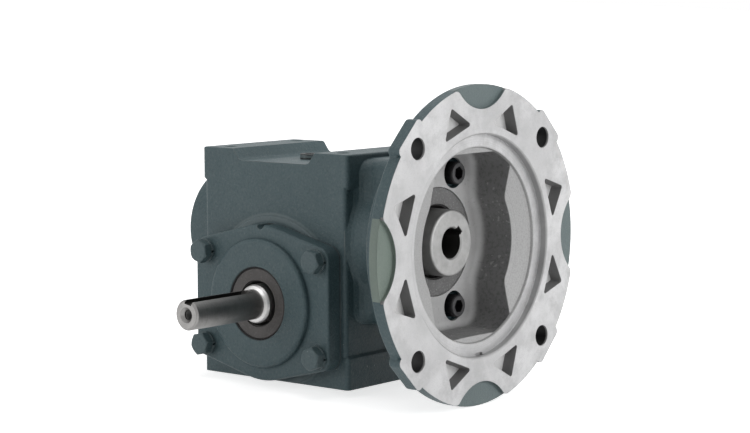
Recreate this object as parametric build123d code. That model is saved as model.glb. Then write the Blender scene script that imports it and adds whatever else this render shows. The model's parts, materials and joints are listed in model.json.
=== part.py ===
from build123d import *
import math
import os

# Worm gear reducer with a hollow-shaft motor adapter.
# Millimetres. The origin lies on the base, under the output shaft's axis and in the worm's plane.
# +X points along the worm to the motor, -Y along the output shaft's free end, +Z up.

# Gear pair
module = 1.6
worm_starts = 2
wheel_teeth = 30
worm_pitch_diameter = 19.564
pressure_angle = 20.0
addendum = 1.0
dedendum = 1.2
backlash = 0.4
wheel_face = 14.0
wheel_overhang = 0.4
thread_length = 30.0

# Gear case
axis_height = 42.7
case_height = 122.6
case_half_width = 50.0
case_half_depth = 38.1
seat_rise = 0.9
seat_radius = 45.4
seat_edge = 0.6
case_step_chamfer = 2.2
top_block_half_width = 51.6
top_block_height = 19.0
foot_half_width = 51.4
foot_height = 18.7
case_corner = 2.4
trough_half_width = 29.0
trough_depth = 6.2
trough_slope = 4.6
trough_fillet = 4.0
pad_edge = 1.0
rear_boss_radius = 32.0
rear_boss_end = 67.6
rear_boss_edge = 2.0
neck_end = 69.0
neck_half_height = 43.5
neck_half_width = 25.0
neck_bulge_radius = 33.5
neck_corner = 8.0
neck_blend = 10.0
neck_flare = 8.0
neck_root_inset = 0.4
neck_root_steps = ((-0.12, 1.0), (0.04, 0.7), (0.19, 0.42), (0.44, 0.2), (0.75, 0.06), (1.12, -0.05))
chamber_radius = 34.0
worm_tunnel_radius = 13.0
quill_tunnel_radius = 21.0
quill_tunnel_start = 30.0

# Tapped holes of the top pads and the base
pad_hole_x = 40.0
pad_hole_y = 27.0
top_hole_radius = 3.3
base_hole_radius = 3.97
top_hole_depth = 12.0
base_hole_depth = 10.5
hole_chamfer = 0.4

# Output covers
cover_face = 47.7
cover_boss_face = 51.0
cover_radius = 41.4
cover_ear_radius = 7.5
cover_boss_radius = 34.2
cover_boss_edge = 2.2
cover_bolt_x = 39.5
cover_bolt_z = 25.1
cover_spigot_length = 13.6
cover_edge = 1.4
shim_thickness = 0.4
pry_notch_radius = 2.4

# Hex bolts and lock washers of the covers, 1/4 inch
bolt_diameter = 6.35
bolt_head_flats = 11.11
bolt_head_height = 5.0
bolt_reach = 14.0
washer_thickness = 1.6
washer_radius = 6.2
bolt_hole_clearance = 0.35
bolt_head_turns = (12, 37, 22, 51)
thread_clearance = 0.05

# Output shaft
shaft_diameter = 15.875
shaft_end = 103.6
shaft_shoulder = 53.0
journal_diameter = 20.64
output_bearing_bore = 22.0
collar_diameter = 29.0
gear_seat_diameter = 25.0
hub_half_length = 12.0
bearing_inner_face = 25.0
shaft_back_end = 40.4
key_width = 4.7625
keyway_length = 43.5
keyway_turn = 12.0
seam_turn = 24.0
centre_hole_diameter = 5.2
centre_hole_depth = 16.0
centre_hole_mouth = 1.5
shaft_chamfer = 1.0
hub_diameter = 34.0
wheel_hub_inset = 1.5

# Tapered roller bearing of the output shaft
cup_diameter = 45.24
taper_width = 15.5
cup_width = 12.7
cone_width = 14.0
roller_angle = 10.0
roller_pitch_radius = 16.8
roller_diameter = 5.6
roller_length = 9.6
roller_count = 14
roller_gap = 0.1
cage_wall = 0.8

# Output seal
output_seal_radius = 18.8
output_seal_width = 8.0
seal_recess = 0.8

# Worm shaft and its ball bearings
quill_diameter = 35.0
quill_bore = 15.875
quill_face = 90.4
quill_bore_length = 36.0
quill_start = 33.0
quill_shoulder_diameter = 39.0
quill_edge = 1.4
worm_neck_diameter = 15.0
rear_seat_diameter = 17.0
rear_shoulder_diameter = 21.0
rear_bearing_diameter = 40.0
rear_bearing_width = 12.0
rear_bearing_inner = 48.0
rear_ball_diameter = 6.75
rear_ball_count = 8
front_bearing_diameter = 55.0
front_bearing_width = 10.0
front_bearing_inner = 55.0
front_ball_diameter = 5.56
front_ball_count = 13
ball_gap = 0.1
ball_cage_wall = 1.2
ring_thickness = 1.5
ring_gap = 0.15
ring_groove_depth = 0.8
end_cap_thickness = 1.6

# Input seal
input_seal_diameter = 57.15
input_seal_width = 7.6
input_seal_recess = 0.5

# Motor adapter with the 5.88 inch bolt circle
motor_face = 110.0
rim_radius = 82.55
rim_thickness = 8.0
rim_edge = 1.8
lobe_rise = 2.6
lobe_half_width = 11.5
lobe_corner = 2.8
bolt_circle = 149.225
motor_hole_diameter = 11.1
register_diameter = 114.3
register_depth = 4.2
ledge_radius = 50.6
dish_rim_depth = 5.6
dish_centre_depth = 10.8
dish_centre_radius = 33.0
bowl_floor_depth = 29.5
pocket_half_height = 46.2
pocket_half_width = 30.6
pocket_corner = 9.0
pocket_bulge_radius = 37.2
pocket_blend = 12.0
pocket_draft = 2.5
pocket_floor_fillet = 4.0
adapter_wall = 6.0
bell_start = 81.0
bell_radius = 58.0
bell_rim_radius = 79.0
scallop_centre = 95.0
scallop_radius = 25.0
scallop_depth = 2.0
scallop_lip = 4.0
window_depth = 6.5
window_corner = 1.2
window_draft = 8.0
register_chamfer = 0.8
weep_slot_y = 2.8
weep_slot_width = 5.6
weep_slot_depth = 2.4
gasket_thickness = 0.8
pilot_length = 3.8
pilot_bore_radius = 22.5

# Socket head cap screws of the adapter, 5/16 inch
cap_screw_diameter = 7.94
adapter_screw_y = 14.3
adapter_screw_z = 35.0
cap_head_diameter = 11.9
cap_head_height = 7.94
cap_head_proud = 3.5
spotface_diameter = 16.0
socket_flats = 6.35
socket_depth = 4.2
cap_screw_reach = 15.0

# Pipe plugs
plug_radius = 5.0
plug_length = 7.0
plug_socket_flats = 4.8
fill_plug_x = 0.0
fill_plug_y = -8.0
fill_plug_proud = 3.0
drain_plug_y = 18.0

# Clearances
seat_gap = 0.02
lip_gap = 0.05

# Places that follow from the sizes above
centre_distance = (worm_pitch_diameter + module * wheel_teeth) / 2
worm_height = axis_height + centre_distance
axial_pitch = math.pi * module
lead = worm_starts * axial_pitch
wheel_pitch_radius = module * wheel_teeth / 2
worm_tip_radius = worm_pitch_diameter / 2 + addendum * module
worm_root_radius = worm_pitch_diameter / 2 - dedendum * module
lead_angle = math.degrees(math.atan(lead / (math.pi * worm_pitch_diameter)))
top_block_base = case_height - top_block_height
front_plane = case_half_depth - seat_rise
floor_face = motor_face - bowl_floor_depth
lobe_reach = rim_radius + lobe_rise
lobe_root = 0.55 * lobe_rise
adapter_back = neck_end + gasket_thickness
cover_seat = case_half_depth + shim_thickness
spigot_face = cover_seat - cover_spigot_length
cup_back = bearing_inner_face + taper_width
shaft_ring_start = -rear_bearing_inner - rear_bearing_width - ring_thickness - ring_gap


def turned_x(points, height=worm_height):
    """Solid of revolution about the worm's line, from (x, radius) points."""
    return Pos(0, 0, height) * revolve(make_face(Polyline(*points, close=True)), axis=Axis.X)


def turned_y(points):
    """Solid of revolution about the output line, from (y, radius) points."""
    profile = make_face(Polyline(*[(radius, y) for y, radius in points], close=True))
    return Pos(0, 0, axis_height) * revolve(profile, axis=Axis.Y)


def sleeve_x(start, end, outer, inner=0.0, height=worm_height):
    return turned_x([(start, inner), (end, inner), (end, outer), (start, outer)], height)


def sleeve_y(start, end, outer, inner=0.0):
    return turned_y([(start, inner), (end, inner), (end, outer), (start, outer)])


def edge_sleeve_y(start, end, outer, inner, edge):
    """Ring about the output line with all four edges chamfered."""
    return turned_y([(start, inner + edge), (start + edge, inner), (end - edge, inner), (end, inner + edge),
                     (end, outer - edge), (end - edge, outer), (start + edge, outer), (start, outer - edge)])


def rod_x(start, end, radius, y, z):
    return Pos(start, y, z) * Rot(0, 90, 0) * Cylinder(
        radius, end - start, align=(Align.CENTER, Align.CENTER, Align.MIN))


def rod_y(start, end, radius, x, z):
    return Pos(x, start, z) * Rot(-90, 0, 0) * Cylinder(
        radius, end - start, align=(Align.CENTER, Align.CENTER, Align.MIN))


def rod_z(start, end, radius, x, y):
    return Pos(x, y, start) * Cylinder(radius, end - start, align=(Align.CENTER, Align.CENTER, Align.MIN))


def slab(half_x, half_y, bottom, top, corner):
    return Pos(0, 0, bottom) * extrude(RectangleRounded(2 * half_x, 2 * half_y, corner), top - bottom)


def far_side(shape):
    """The same piece on the other side of the worm's plane."""
    return mirror(shape, about=Plane.XZ)


def solids_of(shape):
    return list(shape.solids())


def bulged_outline(half_height, half_width, corner, bulge_radius, blend):
    """Upright rounded rectangle joined with a disc, drawn as (y, z) about the worm's line."""
    outline = RectangleRounded(2 * half_width, 2 * half_height, corner) + Circle(bulge_radius)
    waist = [v for v in outline.vertices()
             if abs(abs(v.X) - half_width) < 0.01 and abs(v.Y) < half_height - corner - 0.01]
    return fillet(waist, blend)


def stand_x(sketch, start, depth, taper=0.0):
    """Extrude a (y, z) sketch along the worm's line."""
    plane = Plane(origin=(start, 0, worm_height), x_dir=(0, 1, 0), z_dir=(1, 0, 0))
    return extrude(plane * sketch, depth, taper=taper)


cover_bolt_places = [(sx * cover_bolt_x, axis_height + sz * cover_bolt_z) for sx in (-1, 1) for sz in (-1, 1)]
adapter_screw_places = [(sy * adapter_screw_y, worm_height + sz * adapter_screw_z)
                        for sy in (-1, 1) for sz in (-1, 1)]
pad_hole_places = [(sx * pad_hole_x, sy * pad_hole_y) for sx in (-1, 1) for sy in (-1, 1)]


# Gear case

def cover_outline(margin=0.0):
    """Outline of an output cover: a disc and four bolt ears, joined by their tangents."""
    rims = [Circle(cover_radius + margin).edge()]
    for x, z in cover_bolt_places:
        rims.append((Pos(x, z - axis_height) * Circle(cover_ear_radius + margin)).edge())
    return make_hull(rims)


def stand_y(sketch, start, depth, taper=0.0):
    """Extrude an (x, z) sketch towards the output side, from y = -start outwards by depth."""
    plane = Plane(origin=(0, -start, axis_height), x_dir=(1, 0, 0), z_dir=(0, -1, 0))
    return extrude(plane * sketch, depth, taper=taper)


def neck_outline():
    return bulged_outline(neck_half_height, neck_half_width, neck_corner, neck_bulge_radius, neck_blend)


def cover_seat_block():
    """Machined seat of a cover, a little proud of the cast wall and cut off at the base."""
    disc = Circle(seat_radius) & (Pos(0, case_height / 2 - axis_height) * Rectangle(
        2 * case_half_width - 2, case_height))
    round_seat = stand_y(disc, 0, case_half_depth)
    round_seat = chamfer(round_seat.faces().sort_by(Axis.Y)[0].edges(), seat_edge)
    return round_seat + stand_y(cover_outline(), 0, case_half_depth)


def case_casting():
    """Outside of the gear case: block, top pads, foot slab, rear boss, neck and cover seats."""
    foot = slab(foot_half_width, front_plane, 0, foot_height, case_corner)
    top_block = slab(top_block_half_width, front_plane, top_block_base, case_height, case_corner)
    top_block = fillet(top_block.faces().sort_by(Axis.Z)[-1].edges(), pad_edge)
    body = slab(case_half_width, front_plane, 0, case_height - pad_edge, case_corner)
    body += chamfer(foot.faces().sort_by(Axis.Z)[-1].edges(), case_step_chamfer)
    body += chamfer(top_block.faces().sort_by(Axis.Z)[0].edges(), case_step_chamfer)
    seat = cover_seat_block()
    body += [seat, far_side(seat)]
    boss = sleeve_x(-rear_boss_end, 0, rear_boss_radius)
    body += fillet(boss.edges().group_by(Axis.X)[0], rear_boss_edge)
    body += [stand_x(neck_outline(), 0, neck_end), neck_root()]
    return body - trough()


def neck_root():
    """Cast fillet that widens the neck where it leaves the case, from just inside the wall."""
    sections = []
    for reach, share in neck_root_steps:
        widening = share * neck_flare
        outline = bulged_outline(neck_half_height - neck_root_inset, neck_half_width + widening, neck_corner,
                                 neck_bulge_radius + 0.5 * widening, neck_blend)
        place = Pos(case_half_width + reach * neck_flare, 0, worm_height)
        sections.append(place * Rot(0, 90, 0) * Rot(0, 0, 90) * outline)
    return loft(sections, ruled=True)


def trough():
    """Channel between the top pads, with sloping sides and a rounded floor."""
    floor = -trough_depth
    bottom = trough_half_width - trough_slope
    top = trough_half_width + trough_slope
    profile = make_face(Polyline((-bottom, floor), (bottom, floor), (top, trough_depth), (-top, trough_depth),
                                 close=True))
    channel = Pos(0, 2 * case_half_depth, case_height) * Rot(90, 0, 0) * extrude(profile, 4 * case_half_depth)
    return fillet(channel.edges().filter_by(Axis.Y).group_by(Axis.Z)[0], trough_fillet)


def case_bores():
    """Everything that is machined out of the gear case."""
    front_floor = front_bearing_inner
    bores = sleeve_y(-2 * case_half_depth, 2 * case_half_depth, chamber_radius)
    bores += sleeve_x(-rear_bearing_inner, quill_tunnel_start, worm_tunnel_radius)
    bores += sleeve_x(quill_tunnel_start, front_floor, quill_tunnel_radius)
    bores += sleeve_x(front_floor, neck_end + 1, front_bearing_diameter / 2 + seat_gap)
    bores += sleeve_x(-rear_boss_end - 1, -rear_bearing_inner, rear_bearing_diameter / 2 + seat_gap)
    groove_end = -rear_bearing_inner - rear_bearing_width - ring_gap
    bores += sleeve_x(groove_end - ring_thickness - ring_gap, groove_end, rear_bearing_diameter / 2 + 1.6)
    bolt_hole = bolt_diameter / 2 + thread_clearance
    screw_hole = cap_screw_diameter / 2 + thread_clearance
    for x, z in cover_bolt_places:
        for start, end in ((-2 * case_half_depth, -case_half_depth + bolt_reach + 2),
                           (case_half_depth - bolt_reach - 2, 2 * case_half_depth)):
            bores += rod_y(start, end, bolt_hole, x, z)
    for y, z in adapter_screw_places:
        bores += rod_x(neck_end - cap_screw_reach - 2, neck_end + 1, screw_hole, y, z)
    for x, y in pad_hole_places:
        bores += rod_z(case_height - top_hole_depth, case_height + 1, top_hole_radius, x, y)
        bores += rod_z(-1, base_hole_depth, base_hole_radius, x, y)
        bores += Pos(x, y, hole_chamfer) * hole_mouth(base_hole_radius)
        bores += Pos(x, y, case_height - hole_chamfer) * Rot(180, 0, 0) * hole_mouth(top_hole_radius)
    return bores


def hole_mouth(radius):
    """Countersink of a tapped hole that opens downwards."""
    return Cone(radius + 2 * hole_chamfer, radius - 2 * hole_chamfer, 4 * hole_chamfer)


def plug_holes():
    trough_floor = case_height - trough_depth
    hole = plug_radius + thread_clearance
    return (rod_z(worm_height, trough_floor + 1, hole, fill_plug_x, fill_plug_y)
            + rod_z(-1, axis_height, hole, 0, drain_plug_y)
            + rod_x(-case_half_width - 1, -chamber_radius + 1, hole, 0, axis_height))


def housing():
    return case_casting() - case_bores() - plug_holes()


# Output covers, their shims, bolts and washers

def cover(open_bore):
    """Output cover on the near side, with the seal's pocket or closed."""
    plate = stand_y(cover_outline(), cover_seat, cover_face - cover_seat)
    plate = fillet(plate.faces().sort_by(Axis.Y)[0].edges(), cover_edge)
    boss = sleeve_y(-cover_boss_face, -cover_seat, cover_boss_radius)
    plate += fillet(boss.edges().group_by(Axis.Y)[0], cover_boss_edge)
    spigot_radius = chamber_radius - seat_gap
    cup_radius = cup_diameter / 2 + seat_gap
    plate += turned_y([(-cover_seat, 0), (-cover_seat, spigot_radius), (-spigot_face - 1, spigot_radius),
                       (-spigot_face, spigot_radius - 1), (-spigot_face, 0)])
    plate -= sleeve_y(-cup_back, 0, cup_radius)
    plate -= sleeve_y(-cup_back - 1.5, 0, cup_radius - 4)
    if open_bore:
        seal_floor = cover_boss_face - seal_recess - output_seal_width
        plate -= sleeve_y(-cover_boss_face - 1, -seal_floor, output_seal_radius + seat_gap)
        plate -= sleeve_y(-cover_boss_face, 0, output_seal_radius - 3)
        plate -= turned_y([(-cover_boss_face - 1, output_seal_radius), (-cover_boss_face - 1, output_seal_radius + 2),
                           (-cover_boss_face, output_seal_radius + 1), (-cover_boss_face + 1, output_seal_radius)])
    for x, z in cover_bolt_places:
        plate -= rod_y(-2 * cover_face, 0, bolt_diameter / 2 + bolt_hole_clearance, x, z)
    notch = rod_y(-2 * cover_face, 0, pry_notch_radius, 0, axis_height + cover_radius)
    return plate - notch


def shim():
    outline = cover_outline() - Circle(chamber_radius)
    for x, z in cover_bolt_places:
        outline -= Pos(x, z - axis_height) * Circle(bolt_diameter / 2 + bolt_hole_clearance)
    return stand_y(outline, case_half_depth, shim_thickness)


def hex_bolt(x, z, turn):
    """Hex head cap screw that points along +Y into the gear case, its head turned by some degrees."""
    seat = cover_face + washer_thickness
    head = Pos(x, -seat, z) * Rot(90, 0, 0) * extrude(
        RegularPolygon(bolt_head_flats / 2, 6, major_radius=False, rotation=turn), bolt_head_height)
    across_corners = bolt_head_flats / math.cos(math.radians(30)) / 2
    top = -seat - bolt_head_height
    crown = Pos(x, 0, z - axis_height) * turned_y([
        (-seat + 1, 0), (-seat + 1, across_corners + 1), (top + 1.3, across_corners + 0.6),
        (top, bolt_head_flats / 2 - 0.4), (top, 0)])
    shank = rod_y(-seat, -case_half_depth + bolt_reach, bolt_diameter / 2, x, z)
    return (head & crown) + shank


def lock_washer(x, z):
    ring = Circle(washer_radius) - Circle(bolt_diameter / 2 + 0.2)
    split = Pos(washer_radius, 0) * Rot(0, 0, 25) * Rectangle(2 * washer_radius - bolt_diameter, 1.0)
    return Pos(x, 0, z - axis_height) * stand_y(ring - split, cover_face, washer_thickness)


# Output shaft and worm wheel

def turned_on_output_line(angle):
    """Placement that turns a shape about the output line by some degrees."""
    return Pos(0, 0, axis_height) * Rot(0, angle, 0) * Pos(0, 0, -axis_height)


def output_shaft():
    """Stepped shaft with an open keyway and a centre hole in its free end."""
    r = shaft_diameter / 2
    seat = output_bearing_bore / 2 - seat_gap
    gear_seat = gear_seat_diameter / 2 - seat_gap
    journal = journal_diameter / 2
    shaft = turned_on_output_line(-seam_turn) * turned_y([
        (-shaft_end, 0), (-shaft_end, r - shaft_chamfer), (-shaft_end + shaft_chamfer, r), (-shaft_shoulder - 0.6, r),
        (-shaft_shoulder, journal - 0.6), (-shaft_shoulder + 1.2, journal), (-cup_back - 0.6, journal),
        (-cup_back - 0.2, seat), (-bearing_inner_face, seat), (-bearing_inner_face, collar_diameter / 2),
        (-hub_half_length - 0.05, collar_diameter / 2), (-hub_half_length - 0.05, gear_seat),
        (hub_half_length - 0.2, gear_seat), (hub_half_length - 0.2, seat), (shaft_back_end - 1, seat),
        (shaft_back_end, seat - 1), (shaft_back_end, 0)])
    key_depth = key_width / 2
    slot_end = -shaft_end + keyway_length
    slot = SlotCenterToCenter(2 * keyway_length, key_width)
    slot_floor = axis_height + r - key_depth
    keyway = Pos(0, slot_end - keyway_length, slot_floor) * Rot(0, 0, 90) * extrude(slot, r)
    keyway = turned_on_output_line(keyway_turn) * keyway
    hole = centre_hole_diameter / 2
    centre = turned_y([(-shaft_end - 1, 0), (-shaft_end - 1, hole + centre_hole_mouth + 1),
                       (-shaft_end, hole + centre_hole_mouth), (-shaft_end + centre_hole_mouth, hole),
                       (-shaft_end + centre_hole_depth, hole),
                       (-shaft_end + centre_hole_depth + 1.5, 0)])
    key_seat = gear_key(seat_gap)
    return shaft - keyway - centre - key_seat


def gear_key(grow=0.0):
    """Square key between the shaft and the wheel's hub, on top of the shaft."""
    size = key_width + 2 * grow
    length = 2 * hub_half_length - 4 + 2 * grow
    return Pos(0, 0, axis_height + gear_seat_diameter / 2) * Box(size, length, size)


def gear_hub():
    rim = hub_diameter / 2
    web = wheel_face / 2
    bore = gear_seat_diameter / 2 + seat_gap
    hub = turned_y([(-hub_half_length, bore), (hub_half_length, bore), (hub_half_length, rim - wheel_hub_inset),
                    (web, rim - wheel_hub_inset), (web, rim), (-web, rim), (-web, rim - wheel_hub_inset),
                    (-hub_half_length, rim - wheel_hub_inset)])
    return hub - gear_key(seat_gap)


def involute_half_angle(radius):
    """Half the angle of a wheel tooth at a radius, in radians."""
    base = wheel_pitch_radius * math.cos(math.radians(pressure_angle))
    thickness = axial_pitch / 2 - backlash / 2

    def involute(r):
        slope = math.acos(min(1.0, base / r))
        return math.tan(slope) - slope

    return thickness / (2 * wheel_pitch_radius) + involute(wheel_pitch_radius) - involute(max(radius, base))


def wheel_outline():
    """Closed outline of all teeth about the output line, with a tooth on top, as (x, z) points."""
    root = wheel_pitch_radius - dedendum * module
    tip = wheel_pitch_radius + addendum * module + wheel_overhang
    flank = [root, wheel_pitch_radius - 0.5 * module, wheel_pitch_radius + 0.4 * module, tip]
    points = []
    for tooth in range(wheel_teeth):
        middle = math.pi / 2 - 2 * math.pi * tooth / wheel_teeth
        rising = [(radius, middle + involute_half_angle(radius)) for radius in flank]
        falling = [(radius, middle - involute_half_angle(radius)) for radius in reversed(flank)]
        points += [(radius * math.cos(angle), radius * math.sin(angle)) for radius, angle in rising + falling]
    return Polyline(*points, close=True)


def worm_wheel_rim():
    """Bronze rim: helical teeth lofted across the face, then throated to the worm."""
    half_twist = math.degrees(wheel_face / 2 * math.tan(math.radians(lead_angle)) / wheel_pitch_radius)
    sections = []
    for side in (-1, 1):
        plane = Plane(origin=(0, side * wheel_face / 2, axis_height), x_dir=(1, 0, 0), z_dir=(0, -1, 0))
        sections.append(plane * Rot(0, 0, -side * half_twist) * make_face(wheel_outline()))
    rim = loft(sections, ruled=True)
    throat_radius = centre_distance - wheel_pitch_radius - addendum * module
    throat_section = Pos(centre_distance, 0) * Circle(throat_radius)
    throat = Pos(0, 0, axis_height) * revolve(throat_section, axis=Axis.Y)
    return rim - throat - sleeve_y(-wheel_face, wheel_face, hub_diameter / 2 + seat_gap)


def spacer_sleeve():
    return edge_sleeve_y(hub_half_length + 0.05, bearing_inner_face - 0.05, collar_diameter / 2,
                         output_bearing_bore / 2 + seat_gap, 0.5)


# Tapered roller bearing on the near side, its large end towards the worm wheel

apex_reach = roller_pitch_radius / math.tan(math.radians(roller_angle))
roller_taper = math.degrees(math.asin(roller_diameter / 2 / math.hypot(apex_reach, roller_pitch_radius)))
roller_middle = -(bearing_inner_face + taper_width / 2)
apex = roller_middle - apex_reach


def cone_radius(y, angle):
    """Radius at y of a cone from the bearing's apex."""
    return (y - apex) * math.tan(math.radians(angle))


def bearing_cup():
    outer = cup_diameter / 2
    start = -cup_back
    end = start + cup_width
    angle = roller_angle + roller_taper
    return turned_y([(start, cone_radius(start, angle) + roller_gap), (end, cone_radius(end, angle) + roller_gap),
                     (end, outer - 0.4), (end - 0.4, outer), (start + 1, outer), (start, outer - 1)])


def bearing_cone():
    inner = output_bearing_bore / 2
    end = -bearing_inner_face
    start = end - cone_width
    angle = roller_angle - roller_taper
    half = (roller_length / 2 * math.cos(math.radians(roller_angle))
            + 0.55 * roller_diameter * math.sin(math.radians(roller_angle)) + roller_gap)
    track_start = roller_middle - half
    track_end = roller_middle + half
    rib = roller_pitch_radius - 0.6
    return turned_y([
        (start, inner + 0.5), (start + 0.5, inner), (end - 1, inner), (end, inner + 1), (end, rib),
        (track_end, rib), (track_end, cone_radius(track_end, angle) - roller_gap),
        (track_start, cone_radius(track_start, angle) - roller_gap),
        (track_start, cone_radius(track_start, angle) + 0.5), (start, cone_radius(start, angle) + 0.5)])


def roller(index):
    half = roller_length / 2
    reach = math.hypot(apex_reach, roller_pitch_radius)
    taper = math.tan(math.radians(roller_taper))
    body = Cone((reach - half) * taper, (reach + half) * taper, roller_length)
    placed = Pos(roller_pitch_radius, 0, 0) * Rot(0, roller_angle, 0) * body
    stand = Pos(0, roller_middle, axis_height) * Rot(-90, 0, 0) * Rot(0, 0, 360 * index / roller_count)
    return stand * placed


def roller_cage():
    """Thin conical cage with a window for each roller."""
    half = roller_length / 2 * math.cos(math.radians(roller_angle)) + 1.2
    start = roller_middle - half
    end = roller_middle + half
    lift = 0.5
    cage = turned_y([
        (start, cone_radius(start, roller_angle) + lift), (end, cone_radius(end, roller_angle) + lift),
        (end, cone_radius(end, roller_angle) + lift + cage_wall),
        (start, cone_radius(start, roller_angle) + lift + cage_wall)])
    for index in range(roller_count):
        window = Pos(roller_pitch_radius, 0, 0) * Rot(0, roller_angle, 0) * Box(
            roller_diameter, roller_diameter + 0.3, roller_length + 0.3)
        stand = Pos(0, roller_middle, axis_height) * Rot(-90, 0, 0) * Rot(0, 0, 360 * index / roller_count)
        cage -= stand * window
    return cage


# Oil seals

def seal_case_y(face, width, outer, inner):
    """Pressed steel case of a seal that opens inwards, near side."""
    wall = 1.0
    return turned_y([(-face, inner), (-face, outer - 0.5), (-face + 0.5, outer), (-face + width, outer),
                     (-face + width, outer - wall), (-face + wall, outer - wall), (-face + wall, inner)])


def output_seal_case():
    face = cover_boss_face - seal_recess
    return seal_case_y(face, output_seal_width, output_seal_radius, journal_diameter / 2 + 2.2)


def lip_profile(face, width, outer, shaft):
    """Rubber body with a sealing lip, as (along, radius) points that run inwards from the face."""
    return [(face + 1.02, shaft + 1.6), (face + 1.02, outer), (face + 2.6, outer), (face + 2.6, shaft + 2.6),
            (face + width - 2.6, shaft + 1.7), (face + width - 0.8, shaft + 1.7), (face + width - 0.8, shaft + 0.7),
            (face + width - 2.2, shaft), (face + width - 2.6, shaft), (face + 3.2, shaft + 1.0)]


def output_seal_lip():
    face = -(cover_boss_face - seal_recess)
    return turned_y(lip_profile(face, output_seal_width, output_seal_radius - 1.02, journal_diameter / 2 + lip_gap))


def output_seal_spring():
    along = -(cover_boss_face - seal_recess) + output_seal_width - 1.7
    wire = 0.6
    radius = journal_diameter / 2 + lip_gap + 1.7 + wire + seat_gap
    ring = Torus(radius, wire)
    return Pos(0, along, axis_height) * Rot(90, 0, 0) * ring


# Worm shaft

def worm_thread():
    """One thread of the worm, swept along its helix past both ends of the worm."""
    half_tip, half_root = (axial_pitch / 4 - backlash / 4 + side * math.tan(math.radians(pressure_angle)) * depth
                           for side, depth in ((-1, addendum * module), (1, dedendum * module + 0.4)))
    foot = worm_root_radius - 0.4
    path = Helix(lead, thread_length + 2 * lead, worm_root_radius)
    section = Plane.XZ * make_face(Polyline((foot, -half_root), (foot, half_root), (worm_tip_radius, half_tip),
                                            (worm_tip_radius, -half_tip), close=True))
    return sweep(section, path=path, is_frenet=True)


def worm_shaft():
    """Quill with the motor's bore at one end and the worm at the other, in one piece."""
    quill = quill_diameter / 2
    half_thread = thread_length / 2
    rear_seat = rear_seat_diameter / 2 - seat_gap
    rear_end = rear_boss_end - end_cap_thickness - 1.2
    core = turned_x([
        (-rear_end, 0), (-rear_end, rear_seat - 0.8), (-rear_end + 0.8, rear_seat),
        (-rear_bearing_inner, rear_seat), (-rear_bearing_inner, rear_shoulder_diameter / 2),
        (-rear_bearing_inner + 4, rear_shoulder_diameter / 2), (-rear_bearing_inner + 7, worm_neck_diameter / 2),
        (-half_thread, worm_root_radius), (half_thread, worm_root_radius), (quill_start - 4, worm_neck_diameter / 2),
        (quill_start, quill_shoulder_diameter / 2), (front_bearing_inner, quill_shoulder_diameter / 2),
        (front_bearing_inner, quill - seat_gap), (quill_face, quill - seat_gap), (quill_face, 0)])
    core = fillet(core.edges().group_by(Axis.X)[-1], quill_edge)
    trim = 0.9
    tip = worm_tip_radius + 0.5
    envelope = turned_x([(-half_thread, 0), (-half_thread, worm_root_radius), (-half_thread + 2 * trim, tip),
                         (half_thread - 2 * trim, tip), (half_thread, worm_root_radius), (half_thread, 0)])
    for start in range(worm_starts):
        turn = Rot(0, 0, thread_phase() + 360 * start / worm_starts)
        thread = Pos(-half_thread - lead, 0, worm_height) * Rot(0, 90, 0) * turn * worm_thread()
        core += thread & envelope
    core -= sleeve_x(shaft_ring_start - seat_gap, shaft_ring_start + ring_thickness + seat_gap,
                     rear_seat_diameter, rear_seat_diameter / 2 - ring_groove_depth)
    core -= sleeve_x(quill_face - quill_bore_length, quill_face + 1, quill_bore / 2)
    core -= turned_x([(quill_face - quill_bore_length - 3, 0), (quill_face - quill_bore_length, quill_bore / 2),
                      (quill_face - quill_bore_length + 0.5, 0)])
    core -= turned_x([(quill_face - 0.8, 0), (quill_face - 0.8, quill_bore / 2), (quill_face, quill_bore / 2 + 0.8),
                      (quill_face + 1, quill_bore / 2 + 0.8), (quill_face + 1, 0)])
    keyway_top = quill_bore / 2 + key_width / 2 - 0.2
    keyway = Pos(quill_face - quill_bore_length, 0, worm_height) * Rot(-45, 0, 0) * Box(
        quill_bore_length + 1, key_width, keyway_top, align=(Align.MIN, Align.CENTER, Align.MIN))
    return core - keyway


def thread_phase():
    """Turn, in degrees, that puts the middle of a groove at the bottom of the worm at x = 0."""
    turns = (thread_length / 2 + lead) / lead
    return -360 * turns - 180 / worm_starts


# Ball bearings of the worm

def ball_ring(start, width, bore, outside, ball, inner):
    """Outer or inner ring of a ball bearing, with a round race and chamfered corners."""
    pitch = (bore + outside) / 4
    shoulder = pitch + (-1 if inner else 1) * ball * 0.28
    edge = 0.6
    low, high = (bore / 2, shoulder) if inner else (shoulder, outside / 2)
    if inner:
        points = [(start, low + edge), (start + edge, low), (start + width - edge, low), (start + width, low + edge),
                  (start + width, high), (start, high)]
    else:
        points = [(start, low), (start + width, low), (start + width, high - edge), (start + width - edge, high),
                  (start + edge, high), (start, high - edge)]
    race = Pos(start + width / 2, pitch) * Circle(ball / 2 + ball_gap)
    return turned_x(points) - Pos(0, 0, worm_height) * revolve(race, axis=Axis.X)


def balls(middle, pitch, ball, count):
    return [Pos(middle, 0, worm_height) * Rot(360 * index / count, 0, 0) * Pos(0, 0, pitch) * Sphere(ball / 2)
            for index in range(count)]


def ball_cage(middle, pitch, ball, count):
    """Ring between the races with a round pocket for each ball."""
    half = ball / 2 + 1.0
    wall = ball_cage_wall / 2
    cage = sleeve_x(middle - half, middle + half, pitch + wall, pitch - wall)
    for index in range(count):
        pocket = Pos(middle, 0, worm_height) * Rot(360 * index / count, 0, 0) * Cylinder(
            ball / 2 + 0.12, 4 * pitch, align=(Align.CENTER, Align.CENTER, Align.MIN))
        cage -= pocket & sleeve_x(middle - half - 1, middle + half + 1, pitch + ball, pitch - ball)
    return cage


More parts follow.
